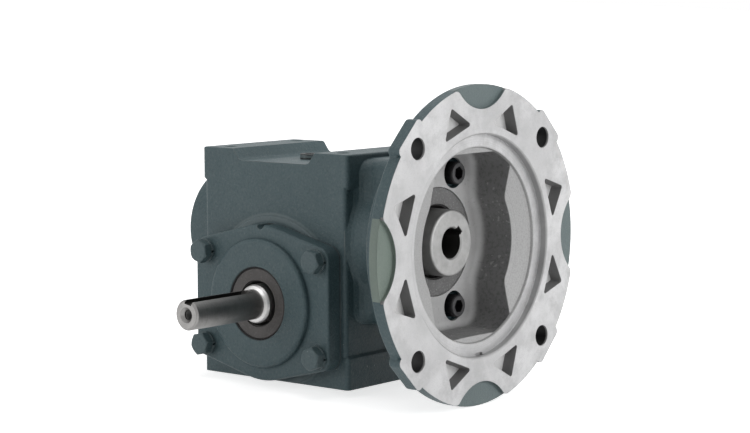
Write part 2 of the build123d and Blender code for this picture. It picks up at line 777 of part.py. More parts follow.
def inner_snap_ring():
    """Retaining ring in the rear bore, open at the bottom, with a pair of lug holes."""
    start = -rear_bearing_inner - rear_bearing_width - ring_thickness - 2 * ring_gap
    outer = rear_bearing_diameter / 2 + 1.3
    ring = sleeve_x(start, start + ring_thickness, outer, outer - 3.2)
    gap = Pos(start, 0, worm_height) * Box(4 * ring_thickness, 7, 2 * outer,
                                           align=(Align.CENTER, Align.CENTER, Align.MAX))
    return ring - gap


def shaft_snap_ring():
    inner = rear_seat_diameter / 2 - ring_groove_depth + seat_gap
    ring = sleeve_x(shaft_ring_start, shaft_ring_start + ring_thickness, inner + 2.6, inner)
    gap = Pos(shaft_ring_start, 0, worm_height) * Box(4 * ring_thickness, 5, 2 * inner + 6,
                                           align=(Align.CENTER, Align.CENTER, Align.MAX))
    return ring - gap


def worm_end_cap():
    """Pressed steel cup that closes the rear bore."""
    outer = rear_bearing_diameter / 2
    end = -rear_boss_end + 0.4
    depth = 3.2
    wall = end_cap_thickness
    return turned_x([(end, 0), (end, outer - 1), (end + 1, outer), (end + depth, outer), (end + depth, outer - 1),
                     (end + 1.1, outer - 1.1), (end + 1.1, 0)])


# Motor adapter

def lobed_rim():
    """Round rim with four bolt lobes, as a (y, z) sketch."""
    outline = Sketch() + Circle(rim_radius)
    for quarter in range(4):
        lobe = Pos(lobe_reach / 2, 0) * RectangleRounded(lobe_reach, 2 * lobe_half_width, lobe_corner)
        outline += Rot(0, 0, 45 + 90 * quarter) * lobe
    return outline


def rim_corners(body):
    """Edges along X where another form meets the round rim, with their distance from the rim's main lines."""
    corners = []
    for edge in body.edges().filter_by(Axis.X):
        y, z = edge.center().Y, edge.center().Z - worm_height
        if abs(math.hypot(y, z) - rim_radius) < 0.01:
            corners.append((edge, min(abs(y), abs(z))))
    return corners


def raised_face():
    """Machined face between the scallops, with rounded lips at the rim."""
    outline = lobed_rim()
    for quarter in range(4):
        outline -= Rot(0, 0, 90 * quarter) * Pos(scallop_centre, 0) * Circle(scallop_radius)
    face = stand_x(outline, motor_face - scallop_depth, scallop_depth + 1)
    lips = [edge for edge, offset in rim_corners(face) if offset < scallop_radius]
    return fillet(lips, scallop_lip)


def window_sketches():
    """Eight triangular pockets between the bolt holes and the scallops."""
    corners = ((25.8, 71.5), (8.9, 62.4), (31.3, 54.2))
    sketches = []
    for swap in (False, True):
        for sy in (-1, 1):
            for sz in (-1, 1):
                points = [((sy * b, sz * a) if swap else (sy * a, sz * b)) for a, b in corners]
                triangle = make_face(Polyline(*points, close=True))
                sketches.append(fillet(triangle.vertices(), window_corner))
    return sketches


def adapter_bell():
    """Rim, bell behind it, cup round the bowl and back pad, before anything is cut."""
    back = motor_face - rim_thickness
    body = stand_x(lobed_rim(), back, rim_thickness)
    body = fillet([edge for edge, offset in rim_corners(body)], lobe_root)
    body = fillet(body.faces().sort_by(Axis.X)[0].edges(), rim_edge)
    curve = Spline((back, bell_rim_radius), (back - 6, bell_radius + 8), (bell_start, bell_radius),
                   tangents=[(-1, -3), (-1, 0)])
    profile = make_face(curve + Polyline((bell_start, bell_radius), (bell_start, 0), (back, 0),
                                         (back, bell_rim_radius)))
    body += Pos(0, 0, worm_height) * revolve(profile, axis=Axis.X)
    cup = bulged_outline(pocket_half_height + adapter_wall, pocket_half_width + adapter_wall,
                         pocket_corner + adapter_wall, pocket_bulge_radius + adapter_wall, pocket_blend)
    body += stand_x(cup, bell_start - 3.5, back - bell_start + 3.5)
    body += stand_x(neck_outline(), adapter_back, back - adapter_back)
    return body


def adapter_bowl():
    """Register, ledge, dish and deep pocket of the adapter."""
    register = register_diameter / 2
    ledge = motor_face - register_depth
    dish_rim = motor_face - dish_rim_depth
    dish_centre = motor_face - dish_centre_depth
    front = motor_face + 1
    dish = turned_x([
        (front, 0), (front, register + register_chamfer), (motor_face, register + register_chamfer),
        (motor_face - register_chamfer, register), (ledge, register), (ledge, ledge_radius),
        (dish_rim, ledge_radius - 0.5), (dish_centre, dish_centre_radius), (dish_centre, 0)])
    pocket_sketch = bulged_outline(pocket_half_height, pocket_half_width, pocket_corner,
                                   pocket_bulge_radius, pocket_blend)
    pocket = stand_x(pocket_sketch, floor_face, bowl_floor_depth - dish_rim_depth, taper=-pocket_draft)
    return dish + fillet(pocket.faces().sort_by(Axis.X)[0].edges(), pocket_floor_fillet)


def motor_adapter():
    body = adapter_bell() - adapter_bowl()
    pilot = front_bearing_diameter / 2 - seat_gap
    body += sleeve_x(neck_end - pilot_length, adapter_back + 1, pilot, pilot_bore_radius)
    body -= sleeve_x(0, floor_face + 1, pilot_bore_radius)
    seal_floor = floor_face - input_seal_recess - input_seal_width
    body -= sleeve_x(seal_floor, floor_face + 1, input_seal_diameter / 2 + seat_gap)
    head_seat = floor_face + cap_head_proud - cap_head_height
    for y, z in adapter_screw_places:
        body -= rod_x(0, floor_face, cap_screw_diameter / 2 + bolt_hole_clearance, y, z)
        body -= rod_x(head_seat, motor_face - dish_rim_depth, spotface_diameter / 2, y, z)
    for quarter in range(4):
        angle = math.radians(45 + 90 * quarter)
        y, z = bolt_circle / 2 * math.cos(angle), worm_height + bolt_circle / 2 * math.sin(angle)
        body -= rod_x(motor_face - 3 * rim_thickness, motor_face + 1, motor_hole_diameter / 2, y, z)
    body -= sleeve_x(motor_face - scallop_depth, motor_face + 1, lobe_reach + 5) - raised_face()
    weep = Pos(motor_face - register_depth, weep_slot_y, worm_height - register_diameter / 2)
    body -= weep * Box(weep_slot_depth, weep_slot_width, weep_slot_depth)
    for window in window_sketches():
        body -= stand_x(window, motor_face, -window_depth, taper=window_draft)
    return body


def adapter_gasket():
    outline = neck_outline() - Circle(front_bearing_diameter / 2)
    for y, z in adapter_screw_places:
        outline -= Pos(y, z - worm_height) * Circle(cap_screw_diameter / 2 + bolt_hole_clearance)
    return stand_x(outline, neck_end, gasket_thickness)


def cap_screw(y, z):
    """Socket head cap screw that points along -X into the neck."""
    head_top = floor_face + cap_head_proud
    head_seat = head_top - cap_head_height
    r = cap_head_diameter / 2
    head = Pos(0, y, z - worm_height) * turned_x([
        (head_seat, 0), (head_seat, r), (head_top - 0.5, r), (head_top, r - 0.5), (head_top, 0)])
    socket = Pos(head_top - socket_depth, y, z) * Rot(0, 90, 0) * extrude(
        RegularPolygon(socket_flats / 2, 6, major_radius=False), socket_depth + 1)
    shank = rod_x(neck_end - cap_screw_reach, head_seat, cap_screw_diameter / 2, y, z)
    return head - socket + shank


def input_seal_case():
    face = floor_face - input_seal_recess
    outer = input_seal_diameter / 2
    inner = quill_diameter / 2 + 2.4
    wall = 1.0
    return turned_x([(face, inner), (face, outer - 0.5), (face - 0.5, outer), (face - input_seal_width, outer),
                     (face - input_seal_width, outer - wall), (face - wall, outer - wall), (face - wall, inner)])


def input_seal_lip():
    face = floor_face - input_seal_recess
    profile = lip_profile(0, input_seal_width, input_seal_diameter / 2 - 1.02, quill_diameter / 2 + lip_gap)
    return turned_x([(face - along, radius) for along, radius in profile])


def input_seal_spring():
    along = floor_face - input_seal_recess - input_seal_width + 1.7
    wire = 0.6
    radius = quill_diameter / 2 + lip_gap + 1.7 + wire + seat_gap
    return Pos(along, 0, worm_height) * Rot(0, 90, 0) * Torus(radius, wire)


# Pipe plugs

def pipe_plug(length, socket_depth_in_plug):
    """Plug with a hex socket in its top face, standing on z = 0 and pointing up."""
    edge = 0.5
    body = Cylinder(plug_radius, length, align=(Align.CENTER, Align.CENTER, Align.MIN))
    body = chamfer(body.edges().group_by(Axis.Z)[-1], edge)
    socket = Pos(0, 0, length - socket_depth_in_plug) * extrude(
        RegularPolygon(plug_socket_flats / 2, 6, major_radius=False), socket_depth_in_plug)
    return body - socket


def fill_plug():
    floor = case_height - trough_depth
    return Pos(fill_plug_x, fill_plug_y, floor + fill_plug_proud - plug_length - 3) * pipe_plug(plug_length + 3, 4.0)


def drain_plug():
    return Pos(0, drain_plug_y, plug_length + 0.6) * Rot(180, 0, 0) * pipe_plug(plug_length, 4.0)


def level_plug():
    return Pos(-case_half_width + plug_length, 0, axis_height) * Rot(0, -90, 0) * pipe_plug(plug_length, 4.0)


# Every piece by its node's name

front_middle = front_bearing_inner + front_bearing_width / 2
front_pitch = (quill_diameter + front_bearing_diameter) / 4
rear_middle = -rear_bearing_inner - rear_bearing_width / 2
rear_pitch = (rear_seat_diameter + rear_bearing_diameter) / 4
rear_start = -rear_bearing_inner - rear_bearing_width


def pieces():
    """Yield each node's name with its solids."""
    yield "housing", [housing()]
    yield "output_cover", [cover(open_bore=True)]
    yield "closed_cover", [far_side(cover(open_bore=False))]
    yield "output_cover_shim", [shim()]
    yield "closed_cover_shim", [far_side(shim())]
    bolts = [hex_bolt(x, z, turn) for (x, z), turn in zip(cover_bolt_places, bolt_head_turns)]
    washers = [lock_washer(x, z) for x, z in cover_bolt_places]
    yield "output_cover_bolts", bolts
    yield "closed_cover_bolts", [far_side(bolt) for bolt in bolts]
    yield "output_cover_washers", washers
    yield "closed_cover_washers", [far_side(washer) for washer in washers]
    yield "output_seal_case", [output_seal_case()]
    yield "output_seal_lip", [output_seal_lip()]
    yield "output_seal_spring", [output_seal_spring()]
    yield "output_shaft", [output_shaft()]
    yield "gear_key", [gear_key()]
    yield "gear_hub", [gear_hub()]
    yield "worm_wheel_rim", [worm_wheel_rim()]
    yield "spacer_sleeve", [spacer_sleeve()]
    rollers = [roller(index) for index in range(roller_count)]
    for side, place in (("output", lambda shape: shape), ("closed", far_side)):
        yield side + "_bearing_cup", [place(bearing_cup())]
        yield side + "_bearing_cone", [place(bearing_cone())]
        yield side + "_bearing_rollers", [place(piece) for piece in rollers]
        yield side + "_bearing_cage", [place(roller_cage())]
    yield "worm_shaft", [worm_shaft()]
    for name, start, width, bore, outside, ball, count, middle, pitch in (
            ("front", front_bearing_inner, front_bearing_width, quill_diameter, front_bearing_diameter,
             front_ball_diameter, front_ball_count, front_middle, front_pitch),
            ("rear", rear_start, rear_bearing_width, rear_seat_diameter, rear_bearing_diameter,
             rear_ball_diameter, rear_ball_count, rear_middle, rear_pitch)):
        yield name + "_bearing_outer_ring", [ball_ring(start, width, bore, outside, ball, inner=False)]
        yield name + "_bearing_inner_ring", [ball_ring(start, width, bore, outside, ball, inner=True)]
        yield name + "_bearing_balls", balls(middle, pitch, ball, count)
        yield name + "_bearing_cage", [ball_cage(middle, pitch, ball, count)]
    yield "bore_retaining_ring", [inner_snap_ring()]
    yield "shaft_retaining_ring", [shaft_snap_ring()]
    yield "worm_end_cap", [worm_end_cap()]
    yield "motor_adapter", [motor_adapter()]
    yield "adapter_gasket", [adapter_gasket()]
    yield "adapter_screws", [cap_screw(y, z) for y, z in adapter_screw_places]
    yield "input_seal_case", [input_seal_case()]
    yield "input_seal_lip", [input_seal_lip()]
    yield "input_seal_spring", [input_seal_spring()]
    yield "fill_plug", [fill_plug()]
    yield "drain_plug", [drain_plug()]
    yield "level_plug", [level_plug()]


os.makedirs("parts", exist_ok=True)
for node, shapes in pieces():
    solids = [solid for shape in shapes for solid in solids_of(shape)]
    piece = solids[0] if len(solids) == 1 else Compound(solids)
    export_step(piece, "parts/" + node + ".step")
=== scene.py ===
"""Dresses the worm gear reducer: paint, bare castings, ground shafts, studio light and camera."""

import json
import logging
import math
from dataclasses import dataclass
from enum import Enum
from functools import cache, partial, partialmethod, reduce
from typing import Callable, Protocol, Sequence

import bmesh
import bpy
from mathutils import Matrix, Vector

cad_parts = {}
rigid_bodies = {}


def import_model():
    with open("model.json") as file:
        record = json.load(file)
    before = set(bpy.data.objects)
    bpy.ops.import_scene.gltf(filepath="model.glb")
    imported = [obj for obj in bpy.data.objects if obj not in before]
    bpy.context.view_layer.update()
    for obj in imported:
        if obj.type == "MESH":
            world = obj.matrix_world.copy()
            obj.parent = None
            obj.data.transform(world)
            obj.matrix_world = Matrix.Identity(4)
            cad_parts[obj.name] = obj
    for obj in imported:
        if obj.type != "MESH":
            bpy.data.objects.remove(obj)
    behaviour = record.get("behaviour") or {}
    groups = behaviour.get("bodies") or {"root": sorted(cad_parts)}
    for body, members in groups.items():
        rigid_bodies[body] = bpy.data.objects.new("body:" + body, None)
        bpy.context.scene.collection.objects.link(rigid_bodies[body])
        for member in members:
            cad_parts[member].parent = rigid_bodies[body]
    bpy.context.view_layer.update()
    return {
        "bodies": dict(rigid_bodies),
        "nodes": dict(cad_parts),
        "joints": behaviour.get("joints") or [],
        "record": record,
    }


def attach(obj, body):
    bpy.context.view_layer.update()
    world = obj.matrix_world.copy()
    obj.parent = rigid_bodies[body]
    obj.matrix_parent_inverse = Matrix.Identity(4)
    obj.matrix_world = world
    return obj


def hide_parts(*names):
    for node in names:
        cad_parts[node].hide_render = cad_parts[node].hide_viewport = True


LOG = logging.getLogger("worm_gear_reducer")
MM = 0.001
AXIS_HEIGHT = 42.7 * MM
WORM_HEIGHT = 76.482 * MM
MOTOR_FACE = 110.0 * MM
PAINT_SPECULAR = 0.34
NOWHERE = -1.0

Colour = tuple[float, float, float]
Point = tuple[float, float, float]
Socket = bpy.types.NodeSocket


class Axis(Enum):
    """Direction of a turned piece's own line."""

    ALONG_X = 0
    ALONG_Y = 1
    ALONG_Z = 2


def grey(level: float) -> Colour:
    """Return a neutral colour."""
    return level, level, level


def shaded(colour: Colour, share: float) -> Colour:
    """Return a colour darkened to a share of itself."""
    return tuple(share * part for part in colour)


class Graph:
    """Builds one material's node tree, with short calls for the nodes that the finishes share."""

    def __init__(self, name: str) -> None:
        """Start an empty material.

        Args:
            name: The material's name.
        """
        self.material = bpy.data.materials.new(name)
        self.material.use_nodes = True
        self.tree = self.material.node_tree
        self.tree.nodes.clear()
        output = self.tree.nodes.new("ShaderNodeOutputMaterial")
        self.shader = self.tree.nodes.new("ShaderNodeBsdfPrincipled")
        self.tree.links.new(self.shader.outputs["BSDF"], output.inputs["Surface"])
        self.coordinates = self.tree.nodes.new("ShaderNodeTexCoord")
        self.place = self.coordinates.outputs["Object"]
        self.split = self.node("ShaderNodeSeparateXYZ", Vector=self.place)

    def node(self, kind: str, **inputs: object) -> bpy.types.Node:
        """Add a node and set or link its inputs.

        Args:
            kind: The node's type name.
            **inputs: Input names with spaces written as underscores, and a value or a socket for each.

        Returns:
            The new node.
        """
        made = self.tree.nodes.new(kind)
        for name, value in inputs.items():
            self.set(made.inputs[name.replace("_", " ")], value)
        return made

    def set(self, socket: Socket, value: object) -> None:
        """Link a socket to another one, or give it a plain value.

        Args:
            socket: The input to fill.
            value: A socket, a number or a colour.
        """
        if isinstance(value, Socket):
            self.tree.links.new(value, socket)
        elif isinstance(value, tuple) and socket.type == "RGBA":
            socket.default_value = (*value, 1.0)
        else:
            socket.default_value = value

    def math(self, operation: str, first: object, second: object = 0.0) -> Socket:
        """Return the result of a Math node.

        Args:
            operation: The node's operation.
            first: First number or socket.
            second: Second number or socket.

        Returns:
            The node's output.
        """
        made = self.tree.nodes.new("ShaderNodeMath")
        made.operation = operation
        self.set(made.inputs[0], first)
        self.set(made.inputs[1], second)
        return made.outputs[0]

    # 1 where a value lies above or below a limit, and 0 elsewhere.
    above = partialmethod(math, "GREATER_THAN")
    below = partialmethod(math, "LESS_THAN")

    def distance(self, place: Sequence[Socket], centre: tuple[float, float]) -> Socket:
        """Return how far a place lies from a centre, in two coordinates."""
        first, second = (self.math("SUBTRACT", value, middle) for value, middle in zip(place, centre))
        return self.math("SQRT", self.math("ADD", self.both(first, first), self.both(second, second)))

    def radius(self, axis: Axis, centre: tuple[float, float]) -> Socket:
        """Return the distance from a line that runs along an axis through a centre."""
        names = [name for index, name in enumerate("XYZ") if index != axis.value]
        return self.distance([self.split.outputs[name] for name in names], centre)

    def disc(self, place: Sequence[Socket], centre: tuple[float, float], reach: float) -> Socket:
        """Return 1 within a circle and 0 outside it."""
        return self.step(self.distance(place, centre), reach + 0.4 * MM, reach + 0.1 * MM)

    def step(self, value: Socket, low: float, high: float) -> Socket:
        """Return 0 below low, 1 above high and a smooth ramp between them.

        Args:
            value: The number that is tested.
            low: Where the ramp starts.
            high: Where the ramp ends; lower than low turns the ramp round.

        Returns:
            The ramp's output.
        """
        made = self.node("ShaderNodeMapRange", Value=value, From_Min=min(low, high), From_Max=max(low, high),
                         To_Min=float(low > high), To_Max=float(low <= high))
        made.interpolation_type = "SMOOTHSTEP"
        return made.outputs["Result"]

    def rings(self, place: object, scale: float, detail: float = 3.0) -> Socket:
        """Return fine tool marks that change along one number only.

        Args:
            place: The number, such as a radius.
            scale: Marks per metre.
            detail: Octaves.

        Returns:
            The pattern, about 0.5 on average.
        """
        made = self.node("ShaderNodeTexNoise", Scale=1.0, Detail=detail, Roughness=0.65)
        made.noise_dimensions = "1D"
        self.set(made.inputs["W"], self.math("MULTIPLY", place, scale))
        return made.outputs["Fac"]

    def mix(self, kind: str, slot: int, output: int, *values: object) -> Socket:
        """Return the output of a Mix node.

        Args:
            kind: The node's data type.
            slot: Number of its first input, which the second one follows.
            output: Number of its output.
            *values: The factor and the two values that it mixes.

        Returns:
            The mixed value.
        """
        made = self.tree.nodes.new("ShaderNodeMix")
        made.data_type = kind
        for index, value in zip((0, slot, slot + 1), values):
            self.set(made.inputs[index], value)
        return made.outputs[output]

    # Mixes of two colours, two numbers and two normals: a factor of 0 gives the first and 1 the second.
    blend = partialmethod(mix, "RGBA", 6, 2)
    fade = partialmethod(mix, "FLOAT", 2, 0)
    mixed_normal = partialmethod(mix, "VECTOR", 4, 1)

    def tint(self, colour: object, other: object, mask: object, share: object) -> Socket:
        """Return a colour with a share of another one over it, where a mask lies."""
        return self.blend(self.both(mask, share), colour, other)

    def band(self, value: Socket, low: float, high: float, soft: float) -> Socket:
        """Return 1 between two values and 0 outside them, with ramps of a soft width."""
        return self.both(self.step(value, low - soft, low), self.step(value, high + soft, high))

    def both(self, *masks: object) -> Socket:
        """Return the product of masks."""
        return reduce(partial(self.math, "MULTIPLY"), masks)

    def either(self, *masks: object) -> Socket:
        """Return the largest of masks."""
        return reduce(partial(self.math, "MAXIMUM"), masks)

    def lacking(self, mask: object) -> Socket:
        """Return 1 minus a mask."""
        return self.math("SUBTRACT", 1.0, mask)

    def rounded(self, radius: float) -> Socket:
        """Return the surface's normal with its edges rounded.

        Args:
            radius: Radius of the rounding in metres.

        Returns:
            The normal.
        """
        made = self.node("ShaderNodeBevel", Radius=radius)
        made.samples = 6
        return made.outputs["Normal"]

    def nearness(self, reach: float, inside: bool) -> Socket:
        """Return how open a face is to its own piece's other faces.

        Args:
            reach: How far it looks, in metres.
            inside: Whether it looks into the solid instead of out of it.

        Returns:
            1 on open faces and less near edges or corners.
        """
        made = self.node("ShaderNodeAmbientOcclusion", Distance=reach)
        made.samples = 8
        made.inside = inside
        made.only_local = True
        return made.outputs["AO"]

    def crests(self, reach: float) -> Socket:
        """Return 0 on open faces and up to 1 along outer edges."""
        return self.step(self.nearness(reach, True), 0.86, 0.55)

    def corners(self, reach: float) -> Socket:
        """Return 0 on open faces and up to 1 in inner corners."""
        return self.step(self.nearness(reach, False), 0.9, 0.45)

    def bump(self, height: Socket, strength: float, depth: float, normal: Socket | None = None) -> Socket:
        """Return a normal that is bumped by a height pattern.

        Args:
            height: The pattern.
            strength: Its strength.
            depth: Its depth in metres.
            normal: A normal to start from.

        Returns:
            The bumped normal.
        """
        made = self.node("ShaderNodeBump", Height=height, Strength=strength, Distance=depth)
        if normal is not None:
            self.set(made.inputs["Normal"], normal)
        return made.outputs["Normal"]

    def painted(self, colour: object, rough: object, normal: Socket) -> bpy.types.Material:
        """Return the material of a painted face."""
        return self.finish(Base_Color=colour, Roughness=rough, Normal=normal,
                           Specular_IOR_Level=PAINT_SPECULAR)

    def finish(self, **inputs: object) -> bpy.types.Material:
        """Set the shader's own inputs and return the material.

        Args:
            **inputs: Input names with spaces written as underscores.

        Returns:
            The finished material.
        """
        for name, value in inputs.items():
            self.set(self.shader.inputs[name.replace("_", " ")], value)
        return self.material


@dataclass(frozen=True)
class Pattern:
    """Noise with a scale in patches per metre, and the ramp that turns it into patches."""

    scale: float
    detail: float = 2.0
    roughness: float = 0.5
    low: float = 0.0
    high: float = 1.0

    def noise(self, graph: Graph) -> Socket:
        """Return the noise on object coordinates, about 0.5 on average."""
        made = graph.node("ShaderNodeTexNoise", Vector=graph.place, Scale=self.scale, Detail=self.detail,
                          Roughness=self.roughness)
        return made.outputs["Fac"]

    def mask(self, graph: Graph) -> Socket:
        """Return 0 where the noise lies below the ramp and 1 where it lies above."""
        return graph.step(self.noise(graph), self.low, self.high)


class Finish(Protocol):
    """Anything that makes a material."""

    def material(self) -> bpy.types.Material:
        """Return the finish's material."""


@cache
def material_of(finish: Finish) -> bpy.types.Material:
    """Return a finish's material, which is built once."""
    return finish.material()


@dataclass(frozen=True)
class CastingPaint:
    """Grey-green enamel sprayed over a sand casting."""

    name: str = "case_paint"
    colour: Colour = (0.056, 0.092, 0.101)
    shade: Colour = (0.044, 0.077, 0.086)
    # Lighter, thinner paint on sand peaks and on the plug, also the painted highlight along outer edges.
    thin_paint_and_highlight: Colour = (0.120, 0.152, 0.158)
    # Darker pooled paint in sand hollows, also the painted shade in inner corners.
    pooled_paint_and_shade: Colour = (0.028, 0.054, 0.062)
    chip: Colour = (0.34, 0.36, 0.36)
    roughness: float = 0.45
    corner_roughness: float = 0.66
    grain: float = 0.6
    grain_depth: float = 0.6 * MM
    patches: Pattern = Pattern(34.0, 3.0, low=0.35, high=0.7)
    sand: Pattern = Pattern(760.0, 5.0, 0.65)
    rubbed: Pattern = Pattern(150.0, 4.0, 0.6, 0.3, 0.65)
    chip_dots: Pattern = Pattern(900.0, low=0.73, high=0.76)
    chipped_parts: Pattern = Pattern(26.0, low=0.58, high=0.68)
    swell_depth: float = 1.2 * MM
    corner_reach: float = 5.0 * MM
    edge_reach: float = 1.1 * MM
    edge_radius: float = 0.8 * MM

    def layer(self, graph: Graph) -> tuple[Socket, Socket, Socket]:
        """Add the paint's patches, edges lightened by wear and by painted highlight, painted shade in inner
        corners and cast grain to a graph.

        Args:
            graph: The material being built.

        Returns:
            The paint's colour, roughness and normal.
        """
        colour = graph.tint(self.colour, self.shade, self.patches.mask(graph), 0.55)
        sand = self.sand.noise(graph)
        colour = graph.tint(colour, self.pooled_paint_and_shade, graph.step(sand, 0.5, 0.3), 0.55)
        colour = graph.tint(colour, self.thin_paint_and_highlight, graph.step(sand, 0.52, 0.72), 0.4)
        # Painted shade, partly pooled paint: inner corners found by occlusion take the darker colour.
        corners = graph.corners(self.corner_reach)
        colour = graph.tint(colour, self.pooled_paint_and_shade, corners, 0.6)
        # Outer edges lightened: partly rubbed thin paint, partly a painted highlight along the edges.
        rubbed = graph.fade(self.rubbed.mask(graph), 0.35, 0.9)
        colour = graph.tint(colour, self.thin_paint_and_highlight, graph.crests(self.edge_reach), rubbed)
        chips = graph.both(self.chip_dots.mask(graph), self.chipped_parts.mask(graph))
        colour = graph.tint(colour, self.chip, chips, 0.7)
        gloss = graph.fade(Pattern(210.0, 3.0).noise(graph), self.roughness - 0.07, self.roughness + 0.09)
        rough = graph.fade(corners, gloss, self.corner_roughness)
        swell = Pattern(95.0).noise(graph)
        normal = graph.bump(swell, 0.25, self.swell_depth, graph.rounded(self.edge_radius))
        return colour, rough, graph.bump(sand, self.grain, self.grain_depth, normal)

    def material(self) -> bpy.types.Material:
        """Return the painted casting's material."""
        graph = Graph(self.name)
        colour, rough, normal = self.layer(graph)
        return graph.painted(colour, rough, normal)


@dataclass(frozen=True)
class CasePaint:
    """The case's paint, with a painted highlight on the rounded edge of the machined seat round each cover.
    """

    paint: CastingPaint
    # Painted highlight on the rounded edge of the seat.
    lighter_ring: Colour = (0.150, 0.190, 0.198)
    seat_inner: float = 43.4 * MM
    seat_outer: float = 46.1 * MM
    seat_fade: float = 1.5 * MM
    seat_plane: float = 36.9 * MM
    seat_step: float = 0.4 * MM

    def material(self) -> bpy.types.Material:
        """Return the case's material."""
        graph = Graph("housing_paint")
        colour, rough, normal = self.paint.layer(graph)
        radius = graph.radius(Axis.ALONG_Y, (0.0, AXIS_HEIGHT))
        far = graph.math("ABSOLUTE", graph.split.outputs["Y"])
        # Painted highlight: a lighter ring on the seat's rounded edge round each cover.
        seat = graph.both(graph.band(radius, self.seat_inner, self.seat_outer, self.seat_fade),
                          graph.step(far, self.seat_plane, self.seat_plane + self.seat_step))
        colour = graph.tint(colour, self.lighter_ring, seat, graph.fade(Pattern(120.0, 3.0).noise(graph), 0.4, 0.9))
        return graph.painted(colour, rough, normal)


@dataclass(frozen=True)
class PlugPaint:
    """Black pipe plug with overspray round its middle; the black below and above the band is partly painted
    shadow of a gap round the plug.
    """

    paint: CastingPaint
    # Black of the plug, partly standing as painted shadow of the gap round it.
    bare: Colour = (0.010, 0.014, 0.015)
    drift_height: float = 1.6 * MM
    spray_start: float = 118.3 * MM
    spray_end: float = 119.3 * MM

    def material(self) -> bpy.types.Material:
        """Return the plug's material."""
        graph = Graph("plug_paint")
        drift = graph.both(Pattern(260.0).noise(graph), self.drift_height)
        height = graph.math("ADD", graph.split.outputs["Z"], drift)
        # A band of overspray; the black outside it is partly painted shadow.
        spray = graph.band(height, self.spray_start, self.spray_end, 0.3 * MM)
        colour = graph.blend(spray, self.bare, self.paint.thin_paint_and_highlight)
        normal = graph.bump(Pattern(900.0, 3.0).noise(graph), 0.3, 0.2 * MM)
        return graph.finish(Base_Color=colour, Roughness=0.5, Normal=normal)


@dataclass(frozen=True)
class CoverPaint:
    """The case's paint on the output cover, with painted shade on the wall of the seal's recess."""

    paint: CastingPaint
    # Painted shade, near-black, on the bore wall beside the seal.
    joint: Colour = (0.006, 0.006, 0.007)
    seal_recess_shade_radius: float = 19.6 * MM
    seal_recess_shade_start: float = -50.9 * MM

    def material(self) -> bpy.types.Material:
        """Return the output cover's material."""
        graph = Graph("cover_paint")
        colour, rough, normal = self.paint.layer(graph)
        radius = graph.radius(Axis.ALONG_Y, (0.0, AXIS_HEIGHT))
        # Painted shade on the wall of the seal's recess.
        recess = graph.step(graph.split.outputs["Y"], self.seal_recess_shade_start, self.seal_recess_shade_start + 0.1 * MM)
        joint = graph.both(graph.step(radius, self.seal_recess_shade_radius, self.seal_recess_shade_radius - 0.2 * MM), recess)
        colour = graph.blend(joint, colour, self.joint)
        return graph.painted(colour, rough, normal)


class AdapterPlace:
    """Where a point of the adapter lies and which way its face looks, as sockets of one material."""

    def __init__(self, graph: Graph) -> None:
        """Measure from the motor face and the worm's line.

        Args:
            graph: The material being built.
        """
        height = graph.math("SUBTRACT", graph.split.outputs["Z"], WORM_HEIGHT)
        way = graph.node("ShaderNodeSeparateXYZ", Vector=graph.coordinates.outputs["Normal"])
        lift = graph.math("ADD", graph.both(way.outputs["Y"], graph.split.outputs["Y"]),
                          graph.both(way.outputs["Z"], height))
        self.graph = graph
        self.depth = graph.math("SUBTRACT", MOTOR_FACE, graph.split.outputs["X"])
        self.radius = graph.radius(Axis.ALONG_X, (0.0, WORM_HEIGHT))
        self.across = graph.math("ABSOLUTE", graph.split.outputs["Y"])
        self.upright = graph.math("ABSOLUTE", height)
        self.on_face = graph.step(self.depth, 0.25 * MM, 0.1 * MM)
        self.backward = graph.step(way.outputs["X"], -0.2, -0.4)
        self.outward = graph.step(lift, 8.0 * MM, 12.0 * MM)


